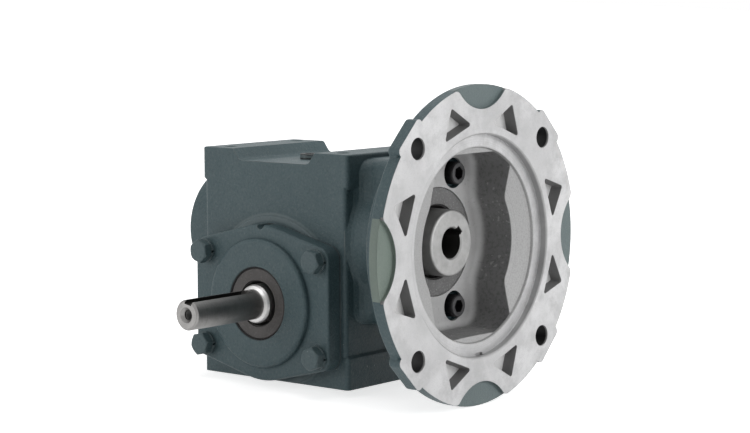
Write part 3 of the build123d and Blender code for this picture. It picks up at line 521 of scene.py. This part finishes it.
@dataclass(frozen=True)
class AdapterMetal:
    """Aluminium adapter: machined where it meets the motor, cast in the bowl, painted outside."""

    paint: CastingPaint
    machined: Colour = (0.60, 0.60, 0.605)
    scored: Colour = (0.30, 0.30, 0.305)
    cast: Colour = grey(0.45)
    dish: Colour = grey(0.42)
    # Painted light: the windows' floors are made lighter, as lit floors.
    lit_window_floor: Colour = grey(0.72)
    # Painted shade on the windows' walls.
    shaded_window_wall: Colour = grey(0.15)
    # Painted shade: the bowl's steep walls are darker than the cast metal.
    wall: Colour = grey(0.23)
    blister: Colour = grey(0.44)
    # Near-black inside the bolt holes: dark paint and painted shade of the deep holes.
    hole_paint_and_shade: Colour = (0.018, 0.018, 0.019)
    # Lighter paint on the scallops' floors: dust and a painted sheen of light.
    dust_and_sheen: Colour = (0.160, 0.198, 0.198)
    # On the left scallop the lighter paint turns olive: dust and a painted reflection.
    olive_dust_and_sheen: Colour = (0.215, 0.262, 0.222)
    olive_start: float = -65.0 * MM
    olive_end: float = -68.0 * MM
    scallop_centre: float = 95.0 * MM
    scallop_radius: float = 25.0 * MM
    hole_place: float = 52.76 * MM
    hole_radius: float = 5.7 * MM
    ledge_radius: float = 50.9 * MM
    ledge_start: float = 0.7 * MM
    ledge_end: float = 5.4 * MM
    register_radius: float = 58.1 * MM
    register_wall_end: float = 3.95 * MM
    dish_inner: tuple[float, float] = (33.0 * MM, 10.8 * MM)
    dish_outer: tuple[float, float] = (50.1 * MM, 5.6 * MM)
    pocket_fillet: tuple[float, float] = (28.8 * MM, 24.5 * MM)
    window_depth: float = 6.5 * MM
    bowl_radius: float = 54.8 * MM
    bowl_depth: float = 31.0 * MM
    bell_start: float = 7.0 * MM
    rim_radius: float = 82.3 * MM
    blister_rows: tuple[float, float] = (9.0 * MM, 21.0 * MM)
    edge_radius: float = 0.45 * MM
    grain: Pattern = Pattern(520.0, 4.0, 0.65)
    speckle: Pattern = Pattern(1300.0, 3.0, 0.7)
    cloud: Pattern = Pattern(17.0, 3.0, 0.55, 0.38, 0.66)
    mottle: Pattern = Pattern(75.0, 5.0, 0.68, 0.36, 0.70)

    def material(self) -> bpy.types.Material:
        """Return the adapter's material."""
        graph = Graph("bare_aluminium")
        place = AdapterPlace(graph)
        corner = (place.across, place.upright)
        folded = [graph.math(operation, *corner) for operation in ("MAXIMUM", "MINIMUM")]
        scallop = graph.disc(folded, (self.scallop_centre, 0.0), self.scallop_radius)
        hole = graph.disc(corner, (self.hole_place, self.hole_place), self.hole_radius)
        bell = graph.both(place.outward, graph.step(place.depth, self.bell_start, self.bell_start + 1.0 * MM))
        bowl = graph.both(graph.below(place.radius, self.bowl_radius),
                          graph.below(place.depth, self.bowl_depth), graph.lacking(bell))
        behind = graph.both(graph.step(place.depth, self.window_depth + 0.7 * MM,
                                       self.window_depth + 1.2 * MM), graph.lacking(bowl))
        outside = graph.either(scallop, behind, place.backward, graph.above(place.radius, self.rim_radius))
        painted = graph.both(outside, graph.lacking(place.on_face), graph.lacking(hole))
        colour, rough, metallic, normal = self.metal(place)
        colour = self.openings(place, hole, outside, colour)
        paint_colour, paint_rough, paint_normal = self.paint.layer(graph)
        # Dust and painted sheen: the scallops' floors are made lighter, olive on the left.
        dust_and_sheen_mask = graph.both(scallop, graph.fade(Pattern(70.0, 3.0).noise(graph), 0.5, 0.9),
                            graph.lacking(place.backward))
        dust_and_sheen = graph.blend(graph.step(graph.split.outputs["Y"], self.olive_start, self.olive_end),
                           self.dust_and_sheen, self.olive_dust_and_sheen)
        paint_colour = graph.blend(dust_and_sheen_mask, paint_colour, dust_and_sheen)
        return graph.finish(Base_Color=graph.blend(painted, colour, paint_colour),
                            Roughness=graph.fade(painted, rough, paint_rough),
                            Metallic=graph.fade(painted, metallic, 0.0),
                            Normal=graph.mixed_normal(painted, normal, paint_normal),
                            Specular_IOR_Level=PAINT_SPECULAR)

    def openings(self, place: AdapterPlace, hole: Socket, outside: Socket, colour: Socket) -> Socket:
        """Paint the bolt holes near-black as dark paint with painted shade, put painted shade on the windows'
        walls and painted light on the windows' floors.

        Args:
            place: Where the point lies.
            hole: Where the bolt holes are.
            outside: Where the painted outside is.
            colour: The metal's colour.

        Returns:
            The new colour.
        """
        graph = place.graph
        # Dark paint and painted shade: the bolt holes are near-black below the face.
        colour = graph.tint(colour, self.hole_paint_and_shade, hole, graph.step(place.depth, 0.35 * MM, 1.6 * MM))
        past_register = graph.above(place.radius, self.register_radius)
        # Painted shade on the windows' walls.
        walls = graph.both(graph.band(place.depth, 0.3 * MM, self.window_depth - 0.3 * MM, 0.2 * MM),
                           past_register, graph.lacking(place.on_face), graph.lacking(outside),
                           graph.lacking(hole))
        colour = graph.tint(colour, self.shaded_window_wall, walls, 0.85)
        # Painted light on the windows' floors.
        floors = graph.both(graph.band(place.depth, self.window_depth - 0.1 * MM,
                                       self.window_depth + 0.3 * MM, 0.1 * MM),
                            past_register, graph.lacking(hole))
        return graph.blend(floors, colour, self.lit_window_floor)

    def metal(self, place: AdapterPlace) -> tuple[Socket, Socket, Socket, Socket]:
        """Lay the machined zones over the cast metal.

        Args:
            place: Where the point lies.

        Returns:
            Colour, roughness, metallic and normal.
        """
        graph = place.graph
        in_register = graph.below(place.radius, self.register_radius)
        below_dish = self.below_dish(place)
        pocket = graph.both(graph.below(place.radius, self.bowl_radius),
                            graph.step(below_dish, 0.15 * MM, 0.6 * MM),
                            graph.step(place.depth, *self.pocket_fillet))
        dish = graph.both(graph.below(place.radius, self.ledge_radius), graph.lacking(place.on_face),
                          graph.step(below_dish, 0.6 * MM, 0.15 * MM))
        ledge = graph.both(in_register, graph.band(place.depth, self.ledge_start, self.ledge_end, 0.2 * MM),
                           graph.lacking(pocket))
        turned = graph.either(place.on_face, ledge)
        tool = graph.rings(place.radius, 2400.0)
        fine = graph.rings(place.radius, 6200.0, 1.0)
        grain = self.grain.noise(graph)
        speckle = self.speckle.noise(graph)
        mottle = self.mottle.mask(graph)
        cast = graph.tint(self.cast, shaded(self.cast, 0.8), mottle, 0.55)
        cast = graph.tint(cast, grey(0.20), graph.step(grain, 0.56, 0.74), 0.45)
        bright = graph.tint(self.machined, shaded(self.machined, 0.68), mottle, 0.9)
        bright = graph.tint(bright, shaded(self.machined, 0.70), self.cloud.mask(graph), 0.65)
        bright = graph.tint(bright, self.scored, graph.step(tool, 0.48, 0.8),
                            graph.fade(in_register, 0.16, 0.5))
        bright = graph.tint(bright, grey(0.32), graph.step(speckle, 0.52, 0.72), 0.4)
        colour = graph.blend(turned, cast, bright)
        sanded = graph.tint(self.dish, shaded(self.dish, 0.62), graph.step(speckle, 0.42, 0.7), 0.55)
        sanded = graph.tint(sanded, grey(0.22), graph.step(tool, 0.45, 0.75), 0.5)
        colour = graph.blend(dish, colour, sanded)
        # Painted shade on the register's wall.
        shaded_register_wall = graph.both(
            in_register, graph.band(place.depth, self.ledge_start, self.register_wall_end, 0.2 * MM),
            graph.above(place.radius, self.ledge_radius))
        colour = graph.tint(colour, self.wall, shaded_register_wall, 0.5)
        # Painted shade on the pocket's steep walls, with grain.
        shaded_pocket_wall = graph.blend(graph.step(grain, 0.45, 0.7), self.wall, shaded(self.wall, 0.72))
        colour = graph.blend(pocket, colour, shaded_pocket_wall)
        colour = graph.tint(colour, self.blister, graph.both(self.blisters(place), pocket), 0.6)
        height = graph.math("ADD", graph.both(tool, 0.3), graph.both(fine, 0.12))
        normal = graph.bump(graph.fade(turned, grain, height), 0.34, 0.28 * MM,
                            graph.rounded(self.edge_radius))
        return colour, graph.fade(turned, 0.62, 0.46), graph.fade(turned, 0.2, 0.45), normal

    def below_dish(self, place: AdapterPlace) -> Socket:
        """Return how far a point lies below the dish's cone, along the worm's line."""
        slope = place.graph.node("ShaderNodeMapRange", Value=place.radius,
                                 From_Min=self.dish_inner[0], From_Max=self.dish_outer[0],
                                 To_Min=self.dish_inner[1], To_Max=self.dish_outer[1])
        return place.graph.math("SUBTRACT", place.depth, slope.outputs["Result"])

    def blisters(self, place: AdapterPlace) -> Socket:
        """Return the mask of the small casting blisters, which crowd in two rows of the pocket's wall."""
        rows = place.graph.both(place.graph.band(place.upright, *self.blister_rows, 2.0 * MM), 0.09)
        bubbles = place.graph.math("ADD", Pattern(560.0, 0.0).noise(place.graph), rows)
        return place.graph.step(bubbles, 0.79, 0.82)


@dataclass(frozen=True)
class DarkZone:
    """A part of a turned piece, between two places on its line and two radii, where painted shade darkens a
    recess such as a keyway, a hole or a bore.
    """

    start: float
    end: float
    inner: float
    outer: float


@dataclass(frozen=True)
class TurnedSteel:
    """Turned and ground steel with fine rings round its line and on its end faces."""

    name: str
    axis: Axis
    centre: tuple[float, float]
    colour: Colour = (0.27, 0.265, 0.26)
    bright: Colour = (0.57, 0.565, 0.56)
    # Near-black painted shade inside recesses such as keyways, holes and bores.
    painted_recess_shade: Colour = (0.022, 0.021, 0.020)
    roughness: float = 0.36
    stain: float = 0.3
    bright_from: float = 1.0
    dark_zones: tuple[DarkZone, ...] = ()
    smears: Pattern = Pattern(150.0, 3.0, 0.6)
    stains: Pattern = Pattern(380.0, 5.0, 0.7, 0.52, 0.72)
    edge_radius: float = 0.3 * MM

    def material(self) -> bpy.types.Material:
        """Return the turned steel's material."""
        graph = Graph(self.name)
        along = graph.split.outputs["XYZ"[self.axis.value]]
        radius = graph.radius(self.axis, self.centre)
        lines = graph.rings(along, 2100.0, 4.0)
        face_lines = graph.rings(radius, 3200.0)
        smears = self.smears.noise(graph)
        journal = graph.step(along, self.bright_from - 0.2 * MM, self.bright_from + 0.2 * MM)
        colour = graph.blend(journal, self.colour, self.bright)
        colour = graph.tint(colour, shaded(self.colour, 0.6), graph.step(smears, 0.35, 0.75), 0.4)
        colour = graph.tint(colour, shaded(self.colour, 0.4), graph.step(lines, 0.45, 0.75), self.stain)
        colour = graph.tint(colour, shaded(self.colour, 0.45), self.stains.mask(graph), self.stain)
        metallic: object = 1.0
        # Painted shade: each dark zone is painted near-black.
        for zone in self.dark_zones:
            inside = graph.both(graph.band(along, zone.start, zone.end, 0.1 * MM),
                                graph.band(radius, zone.inner, zone.outer, 0.05 * MM))
            colour = graph.blend(inside, colour, self.painted_recess_shade)
            metallic = graph.fade(inside, metallic, 0.3)
        rough = graph.fade(smears, self.roughness - 0.06, self.roughness + 0.12)
        height = graph.math("ADD", graph.both(lines, 0.8), graph.both(face_lines, 0.8))
        normal = graph.bump(height, 0.22, 0.06 * MM, graph.rounded(self.edge_radius))
        return graph.finish(Base_Color=colour, Roughness=rough, Metallic=metallic, Normal=normal)


@dataclass(frozen=True)
class PlainFinish:
    """A finish with soft patches and a fine grain, for pieces without a pattern of their own."""

    name: str
    colour: Colour
    roughness: float
    metallic: float
    grain: float = 0.15
    specks: float = 0.0
    speck: Colour = (0.5, 0.5, 0.5)
    spread: float = 0.78
    patches: Pattern = Pattern(120.0, 3.0, 0.55)
    grains: Pattern = Pattern(900.0, 4.0, 0.6)

    def material(self) -> bpy.types.Material:
        """Return the finish's material."""
        graph = Graph(self.name)
        patches = self.patches.noise(graph)
        grain = self.grains.noise(graph)
        colour = graph.blend(graph.step(patches, 0.3, 0.75), self.colour, shaded(self.colour, self.spread))
        if self.specks:
            colour = graph.tint(colour, self.speck, graph.step(grain, 0.5, 0.68), self.specks)
        rough = graph.fade(patches, self.roughness - 0.05, self.roughness + 0.07)
        normal = graph.bump(grain, self.grain, 0.12 * MM)
        return graph.finish(Base_Color=colour, Roughness=rough, Metallic=self.metallic, Normal=normal)


@dataclass(frozen=True)
class ScrewOxide:
    """Black oxide, rubbed grey where the key touches the top of each head."""

    across: float
    upright: float
    head_top: float
    colour: Colour = (0.016, 0.016, 0.017)
    lighter_ring: Colour = (0.115, 0.115, 0.118)
    worn_inner: float = 3.5 * MM
    worn_outer: float = 5.1 * MM

    def material(self) -> bpy.types.Material:
        """Return the screws' material."""
        graph = Graph("screw_oxide")
        height = graph.math("SUBTRACT", graph.split.outputs["Z"], WORM_HEIGHT)
        place = [graph.math("ABSOLUTE", offset) for offset in (graph.split.outputs["Y"], height)]
        radius = graph.distance(place, (self.across, self.upright))
        top = graph.step(graph.split.outputs["X"], self.head_top - 0.5 * MM, self.head_top - 0.1 * MM)
        rubbed = graph.both(top, graph.band(radius, self.worn_inner, self.worn_outer, 0.5 * MM),
                            graph.fade(Pattern(420.0, 3.0).noise(graph), 0.35, 0.9))
        colour = graph.blend(rubbed, self.colour, self.lighter_ring)
        rough = graph.fade(Pattern(260.0, 3.0).noise(graph), 0.34, 0.5)
        normal = graph.bump(Pattern(1100.0, 3.0).noise(graph), 0.15, 0.1 * MM)
        return graph.finish(Base_Color=colour, Roughness=rough, Metallic=0.5, Normal=normal)


FASTENER_PAINT = CastingPaint("fastener_paint", (0.070, 0.106, 0.114), (0.058, 0.090, 0.098), grain=0.35)
SLEEVE_STEEL = TurnedSteel("sleeve_steel", Axis.ALONG_Y, (0.0, AXIS_HEIGHT))
BEARING_STEEL = PlainFinish("bearing_steel", (0.60, 0.60, 0.61), 0.22, 1.0, 0.05)
CAGE_STEEL = PlainFinish("cage_steel", (0.36, 0.35, 0.33), 0.38, 1.0)
PLATED_STEEL = PlainFinish("plated_steel", (0.45, 0.45, 0.44), 0.35, 1.0)
THREAD_STEEL = PlainFinish("thread_steel", (0.055, 0.054, 0.053), 0.4, 0.8)
TAPPED_IRON = PlainFinish("tapped_iron", (0.070, 0.074, 0.075), 0.5, 0.5)
HUB_IRON = PlainFinish("hub_iron", grey(0.20), 0.50, 0.8)
BRONZE = PlainFinish("bronze", (0.55, 0.36, 0.16), 0.30, 1.0)
BLACK_OXIDE = PlainFinish("black_oxide", (0.022, 0.022, 0.024), 0.36, 0.6)
OUTPUT_SEAL = PlainFinish("seal_shell", (0.060, 0.055, 0.053), 0.6, 0.1, 0.5, 0.35, (0.12, 0.112, 0.108))
INPUT_SEAL = PlainFinish("input_seal_shell", grey(0.152), 0.66, 0.15, 0.6, 0.5, grey(0.32))
SEAL_RUBBER = PlainFinish("seal_rubber", (0.012, 0.011, 0.010), 0.55, 0.0)
GASKET_FIBRE = PlainFinish("gasket_fibre", (0.040, 0.046, 0.047), 0.8, 0.0)


@dataclass(frozen=True)
class Lamp:
    """A soft square lamp."""

    name: str
    place: Point
    size: float
    power: float
    aim: Point = (0.03, 0.0, 0.07)

    def hang(self) -> None:
        """Hang the lamp and point it at the reducer's middle."""
        data = bpy.data.lights.new(self.name, "AREA")
        data.size = self.size
        data.energy = self.power
        lamp = bpy.data.objects.new(self.name, data)
        lamp.location = self.place
        lamp.rotation_euler = (Vector(self.aim) - Vector(self.place)).to_track_quat("-Z", "Y").to_euler()
        bpy.context.scene.collection.objects.link(lamp)
        LOG.info("hung %s", self.name)


@dataclass
class Studio:
    """Camera, pale floor, backdrop and soft lights."""

    lens: float = 104.35
    sensor: float = 36.0
    azimuth: float = 39.54
    elevation: float = 5.97
    roll: float = -0.19
    offset: Point = (29.15 * MM, 41.74 * MM, 1182.29 * MM)
    aim: Point = (1.0 * MM, 0.0, 42.7 * MM)
    base_edge: float = -51.4 * MM
    rim_foot: tuple[float, float] = (103.5 * MM, -6.07 * MM)
    floor_size: float = 6.0
    floor_gap: float = 0.05 * MM
    floor_white: Colour = (0.86, 0.86, 0.86)
    glow_near: float = 0.72
    glow_reach: tuple[float, float] = (0.12, 0.5)
    ambient: float = 0.30
    lamps: tuple[Lamp, ...] = (Lamp("motor_side", (1.5, 0.45, 0.55), 0.9, 11.0),
                               Lamp("shaft_side", (-0.75, -1.5, 0.5), 0.9, 6.4),
                               Lamp("overhead", (0.0, 0.2, 1.6), 1.2, 9.0))

    def camera(self) -> None:
        """Place the camera where the photograph was taken."""
        azimuth, elevation, roll = map(math.radians, (self.azimuth, self.elevation, self.roll))
        back = Vector((math.sin(azimuth) * math.cos(elevation), -math.cos(azimuth) * math.cos(elevation),
                       math.sin(elevation)))
        right = Vector((0, 0, 1)).cross(back).normalized()
        up = back.cross(right)
        rolled_right = math.cos(roll) * right + math.sin(roll) * up
        rolled_up = math.cos(roll) * up - math.sin(roll) * right
        place = Vector(self.aim)
        for way, length in zip((rolled_right, rolled_up, back), self.offset):
            place = place + way * length
        data = bpy.data.cameras.new("camera")
        data.lens = self.lens
        data.sensor_width = self.sensor
        data.clip_start = 0.01
        camera = bpy.data.objects.new("camera", data)
        turn = Matrix((rolled_right, rolled_up, back)).transposed().to_4x4()
        camera.matrix_world = Matrix.Translation(place) @ turn
        bpy.context.scene.collection.objects.link(camera)
        bpy.context.scene.camera = camera

    def floor(self) -> None:
        """Lay the floor so that the rim and the far edge of the foot both rest on it."""
        tilt = math.atan2(self.rim_foot[1], self.rim_foot[0] - self.base_edge)
        lay = Matrix.Translation((self.base_edge, 0, -self.floor_gap)) @ Matrix.Rotation(-tilt, 4, "Y")
        mesh = bmesh.new()
        bmesh.ops.create_grid(mesh, x_segments=2, y_segments=2, size=self.floor_size)
        bmesh.ops.transform(mesh, matrix=lay, verts=mesh.verts)
        floor = new_piece("floor", mesh)
        floor.data.materials.append(self.backdrop())

    def backdrop(self) -> bpy.types.Material:
        """Return the floor's material: white to the camera and in reflections, shaded by the object."""
        graph = Graph("floor_white")
        seen = graph.tree.nodes.new("ShaderNodeLightPath")
        white = graph.math("MAXIMUM", seen.outputs["Is Camera Ray"], seen.outputs["Is Glossy Ray"])
        far = graph.step(graph.radius(Axis.ALONG_Z, (0.0, 0.0)), *self.glow_reach)
        glow = graph.both(white, graph.fade(far, self.glow_near, 1.0))
        return graph.finish(Base_Color=self.floor_white, Roughness=0.9, Emission_Color=(1.0, 1.0, 1.0),
                            Emission_Strength=glow)

    def world(self) -> None:
        """Set a white world that lights the object evenly."""
        world = bpy.data.worlds.new("studio")
        world.use_nodes = True
        tree = world.node_tree
        background = tree.nodes["Background"]
        path = tree.nodes.new("ShaderNodeLightPath")
        seen = tree.nodes.new("ShaderNodeMath")
        seen.operation = "MAXIMUM"
        tree.links.new(path.outputs["Is Camera Ray"], seen.inputs[0])
        tree.links.new(path.outputs["Is Glossy Ray"], seen.inputs[1])
        strength = tree.nodes.new("ShaderNodeMapRange")
        strength.inputs["To Min"].default_value = self.ambient
        tree.links.new(seen.outputs[0], strength.inputs["Value"])
        tree.links.new(strength.outputs["Result"], background.inputs["Strength"])
        background.inputs["Color"].default_value = (1, 1, 1, 1)
        bpy.context.scene.world = world

    def build(self) -> None:
        """Build the whole studio."""
        self.camera()
        self.floor()
        self.world()
        for lamp in self.lamps:
            lamp.hang()


def new_piece(name: str, mesh: bmesh.types.BMesh) -> bpy.types.Object:
    """Turn a bmesh into an object at the origin.

    Args:
        name: The object's name.
        mesh: The mesh, which is freed.

    Returns:
        The new object.
    """
    data = bpy.data.meshes.new(name)
    mesh.to_mesh(data)
    mesh.free()
    piece = bpy.data.objects.new(name, data)
    bpy.context.scene.collection.objects.link(piece)
    return piece


def joined_piece(name: str, make: Callable[[], bmesh.types.BMesh], places: Sequence[Matrix],
                 finish: Finish) -> bpy.types.Object:
    """Build the same mesh at several places, as one dressed object.

    Args:
        name: The object's name.
        make: Returns one new mesh.
        places: Where each mesh goes.
        finish: The object's finish.

    Returns:
        The new object.
    """
    mesh = bmesh.new()
    for place in places:
        one = make()
        bmesh.ops.transform(one, matrix=place, verts=one.verts)
        copy = bpy.data.meshes.new(name)
        one.to_mesh(copy)
        one.free()
        mesh.from_mesh(copy)
        bpy.data.meshes.remove(copy)
    piece = new_piece(name, mesh)
    piece.data.materials.append(material_of(finish))
    LOG.info("built %s", name)
    return piece


@dataclass
class SocketScrews:
    """Four black socket head cap screws in the bowl, with knurled heads."""

    across: float = 14.3 * MM
    upright: float = 35.0 * MM
    head_top: float = 84.0 * MM
    head_height: float = 7.94 * MM
    head_radius: float = 5.93 * MM
    edge: float = 0.55 * MM
    knurl_depth: float = 0.16 * MM
    socket_radius: float = 3.666 * MM
    socket_depth: float = 4.2 * MM
    shank_radius: float = 3.95 * MM
    shank_length: float = 22.0 * MM
    cuts: int = 15
    first_turn: float = 11.0
    next_turn: float = 23.0

    def screw(self) -> bmesh.types.BMesh:
        """Return one screw that stands on the origin and points down."""
        mesh = bmesh.new()
        rim_radius = self.head_radius - self.edge
        socket = bmesh.ops.create_circle(mesh, segments=6, radius=self.socket_radius)["verts"]
        sides = list({edge for vert in socket for edge in vert.link_edges})
        bmesh.ops.subdivide_edges(mesh, edges=sides, cuts=self.cuts)
        inner = list(mesh.edges)
        rim = bmesh.ops.create_circle(mesh, segments=6 * (self.cuts + 1), radius=rim_radius)["verts"]
        outer = list({edge for vert in rim for edge in vert.link_edges})
        bmesh.ops.bridge_loops(mesh, edges=inner + outer)
        wall = self.extrude(mesh, inner, -self.socket_depth)
        bmesh.ops.holes_fill(mesh, edges=wall)
        side = self.extrude(mesh, outer, -self.edge, self.head_radius / rim_radius)
        grooves = self.round_order(side)[1::2]
        bottom = self.extrude(mesh, side, self.edge - self.head_height)
        grooves += self.round_order(bottom)[1::2]
        shrink = 1 - self.knurl_depth / self.head_radius
        bmesh.ops.scale(mesh, vec=(shrink, shrink, 1), verts=grooves)
        neck = self.extrude(mesh, bottom, 0, self.shank_radius / self.head_radius)
        tip = self.extrude(mesh, neck, -self.shank_length)
        bmesh.ops.holes_fill(mesh, edges=tip)
        bmesh.ops.remove_doubles(mesh, verts=mesh.verts, dist=1e-7)
        bmesh.ops.recalc_face_normals(mesh, faces=mesh.faces)
        return mesh

    def extrude(self, mesh: bmesh.types.BMesh, edges: Sequence[bmesh.types.BMEdge], rise: float,
                grow: float = 1.0) -> list[bmesh.types.BMEdge]:
        """Extrude a loop of edges, then scale and lift the new loop.

        Args:
            mesh: The mesh.
            edges: The loop.
            rise: How far the new loop moves along the screw's line.
            grow: Scale of the new loop about that line.

        Returns:
            The new loop.
        """
        made = bmesh.ops.extrude_edge_only(mesh, edges=list(edges))["geom"]
        verts = [item for item in made if isinstance(item, bmesh.types.BMVert)]
        bmesh.ops.scale(mesh, vec=(grow, grow, 1), verts=verts)
        bmesh.ops.translate(mesh, vec=(0, 0, rise), verts=verts)
        return [item for item in made if isinstance(item, bmesh.types.BMEdge)]

    def round_order(self, edges: Sequence[bmesh.types.BMEdge]) -> list[bmesh.types.BMVert]:
        """Return a loop's corners in the order of their angle."""
        verts = {vert for edge in edges for vert in edge.verts}
        return sorted(verts, key=lambda vert: math.atan2(vert.co.y, vert.co.x))

    def build(self) -> bpy.types.Object:
        """Build the four screws as one piece."""
        lean = Matrix.Rotation(math.radians(90), 4, "Y")
        places = []
        for index, (side, way) in enumerate(((-1, -1), (-1, 1), (1, -1), (1, 1))):
            turn = Matrix.Rotation(math.radians(self.first_turn + self.next_turn * index), 4, "Z")
            place = Matrix.Translation((self.head_top, side * self.across, WORM_HEIGHT + way * self.upright))
            places.append(place @ (lean @ turn))
        oxide = ScrewOxide(self.across, self.upright, self.head_top)
        piece = joined_piece("socket_head_screws", self.screw, places, oxide)
        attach(piece, "gearcase")
        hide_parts("adapter_screws")
        return piece


@dataclass
class TappedHole:
    """A screw thread that lines a tapped hole."""

    name: str
    body: str
    radius: float
    pitch: float
    length: float
    finish: Finish
    steps: int = 28
    bite: float = 0.05 * MM
    crest_depth: float = 0.5
    crest_half: float = 0.06
    root_half: float = 0.46

    def thread(self) -> bmesh.types.BMesh:
        """Return a thread that starts at the origin and runs up along Z."""
        mesh = bmesh.new()
        crest = self.radius - self.crest_depth * self.pitch
        outer = self.radius + self.bite
        corners = ((outer, -self.root_half), (crest, -self.crest_half), (crest, self.crest_half),
                   (outer, self.root_half))
        face = mesh.faces.new([mesh.verts.new((out, 0, share * self.pitch)) for out, share in corners])
        turns = max(1, int(self.length / self.pitch) - 1)
        bmesh.ops.spin(mesh, geom=[face, *face.edges, *face.verts], cent=(0, 0, 0), axis=(0, 0, 1),
                       dvec=(0, 0, self.pitch / self.steps), angle=turns * math.tau,
                       steps=turns * self.steps, use_duplicate=False)
        bmesh.ops.translate(mesh, vec=(0, 0, 0.6 * self.pitch), verts=mesh.verts)
        bmesh.ops.recalc_face_normals(mesh, faces=mesh.faces)
        return mesh

    def build(self, places: Sequence[Matrix]) -> bpy.types.Object:
        """Build one piece with a thread at each place, where a hole starts and Z points into it."""
        piece = joined_piece(self.name, self.thread, places, self.finish)
        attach(piece, self.body)
        return piece


@dataclass
class SubAssembly:
    """A group of CAD nodes that belong together."""

    frame: dict
    paint: CastingPaint

    def dress(self, finish: Finish, *nodes: str) -> None:
        """Give nodes a finish and report them.

        Args:
            finish: The finish.
            *nodes: The nodes' names.
        """
        for name in nodes:
            slots = self.frame["nodes"][name].data.materials
            slots.clear()
            slots.append(material_of(finish))
        LOG.info("dressed %s", ", ".join(nodes))

    def bearing(self, side: str, *parts: str) -> None:
        """Dress a bearing's ground parts and its cage."""
        self.dress(BEARING_STEEL, *(f"{side}_bearing_{part}" for part in parts))
        self.dress(CAGE_STEEL, f"{side}_bearing_cage")

    def seal(self, side: str, shell: Finish) -> None:
        """Dress a seal's case, lip and spring."""
        for finish, part in ((shell, "case"), (SEAL_RUBBER, "lip"), (PLATED_STEEL, "spring")):
            self.dress(finish, f"{side}_seal_{part}")


@dataclass
class GearCase(SubAssembly):
    """Gear case with its covers, bolts, shims, plugs and tapped holes."""

    hole_across: float = 40.0 * MM
    hole_along: float = 27.0 * MM
    top_start: float = 122.0 * MM
    base_start: float = 0.6 * MM

    def holes(self, height: float) -> list[Matrix]:
        """Return where the tapped holes of the case lie at a height."""
        return [Matrix.Translation((side * self.hole_across, way * self.hole_along, height))
                for side in (-1, 1) for way in (-1, 1)]

    def threads(self) -> None:
        """Build the threads of the top and base holes."""
        down = Matrix.Rotation(math.radians(180), 4, "X")
        TappedHole("top_hole_threads", "gearcase", 3.3 * MM, 1.41 * MM, 10.5 * MM, TAPPED_IRON).build(
            [place @ down for place in self.holes(self.top_start)])
        TappedHole("base_hole_threads", "gearcase", 3.97 * MM, 1.588 * MM, 9.0 * MM, TAPPED_IRON).build(
            self.holes(self.base_start))

    def build(self) -> None:
        """Dress the case's nodes and build its threads."""
        self.dress(CasePaint(self.paint), "housing")
        self.dress(CoverPaint(self.paint), "output_cover")
        self.dress(self.paint, "closed_cover", "worm_end_cap")
        self.dress(FASTENER_PAINT, "output_cover_bolts", "closed_cover_bolts", "output_cover_washers",
                   "closed_cover_washers")
        self.dress(GASKET_FIBRE, "output_cover_shim", "closed_cover_shim")
        self.dress(PlugPaint(self.paint), "fill_plug")
        self.dress(BLACK_OXIDE, "drain_plug", "level_plug", "bore_retaining_ring")
        self.threads()


@dataclass
class OutputSide(SubAssembly):
    """Output shaft with the worm wheel, its tapered roller bearings and its seal."""

    journal_start: float = -54.2 * MM
    centre_hole_start: float = -102.0 * MM
    # Zones of painted shade in the shaft's keyway and centre hole.
    painted_recess_shade: tuple[DarkZone, ...] = (DarkZone(-103.4 * MM, -102.6 * MM, 4.4 * MM, 6.8 * MM),
                                    DarkZone(-102.5 * MM, -61.4 * MM, 4.4 * MM, 7.75 * MM),
                                    DarkZone(-101.9 * MM, -80.0 * MM, NOWHERE, 2.75 * MM))

    def build(self) -> None:
        """Dress the output side's nodes and build the thread of the shaft's end."""
        self.dress(TurnedSteel("shaft_steel", Axis.ALONG_Y, (0.0, AXIS_HEIGHT),
                               bright_from=self.journal_start, dark_zones=self.painted_recess_shade), "output_shaft")
        self.dress(SLEEVE_STEEL, "gear_key", "spacer_sleeve")
        self.dress(BRONZE, "worm_wheel_rim")
        self.dress(HUB_IRON, "gear_hub")
        for side in ("output", "closed"):
            self.bearing(side, "cup", "cone", "rollers")
        self.seal("output", OUTPUT_SEAL)
        inward = Matrix.Rotation(math.radians(-90), 4, "X")
        TappedHole("centre_hole_thread", "output_rotor", 2.6 * MM, 1.06 * MM, 13.0 * MM, THREAD_STEEL).build(
            [Matrix.Translation((0, self.centre_hole_start, AXIS_HEIGHT)) @ inward])


@dataclass
class InputSide(SubAssembly):
    """Worm shaft with its ball bearings, rings and seal."""

    colour: Colour = (0.315, 0.315, 0.312)
    # Painted shade inside the quill's bore.
    bore: DarkZone = DarkZone(50.0 * MM, 89.6 * MM, NOWHERE, 10.6 * MM)

    def build(self) -> None:
        """Dress the input side's nodes."""
        self.dress(TurnedSteel("quill_steel", Axis.ALONG_X, (0.0, WORM_HEIGHT), self.colour,
                               roughness=0.5, stain=0.12, dark_zones=(self.bore,)), "worm_shaft")
        for side in ("front", "rear"):
            self.bearing(side, "outer_ring", "inner_ring", "balls")
        self.dress(BLACK_OXIDE, "shaft_retaining_ring")
        self.seal("input", INPUT_SEAL)


@dataclass
class MotorAdapter(SubAssembly):
    """Motor adapter with its gasket and cap screws."""

    def build(self) -> None:
        """Dress the adapter's nodes and build its cap screws."""
        self.dress(AdapterMetal(self.paint), "motor_adapter")
        self.dress(GASKET_FIBRE, "adapter_gasket")
        self.dress(BLACK_OXIDE, "adapter_screws")
        SocketScrews().build()


def main() -> None:
    """Build the studio and dress the reducer."""
    logging.basicConfig(level=logging.INFO, format="%(message)s")
    bpy.context.scene.view_settings.view_transform = "Standard"
    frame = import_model()
    Studio().build()
    paint = CastingPaint()
    for sub_assembly in (MotorAdapter, InputSide, OutputSide, GearCase):
        sub_assembly(frame, paint).build()


if __name__ == "__main__":
    main()
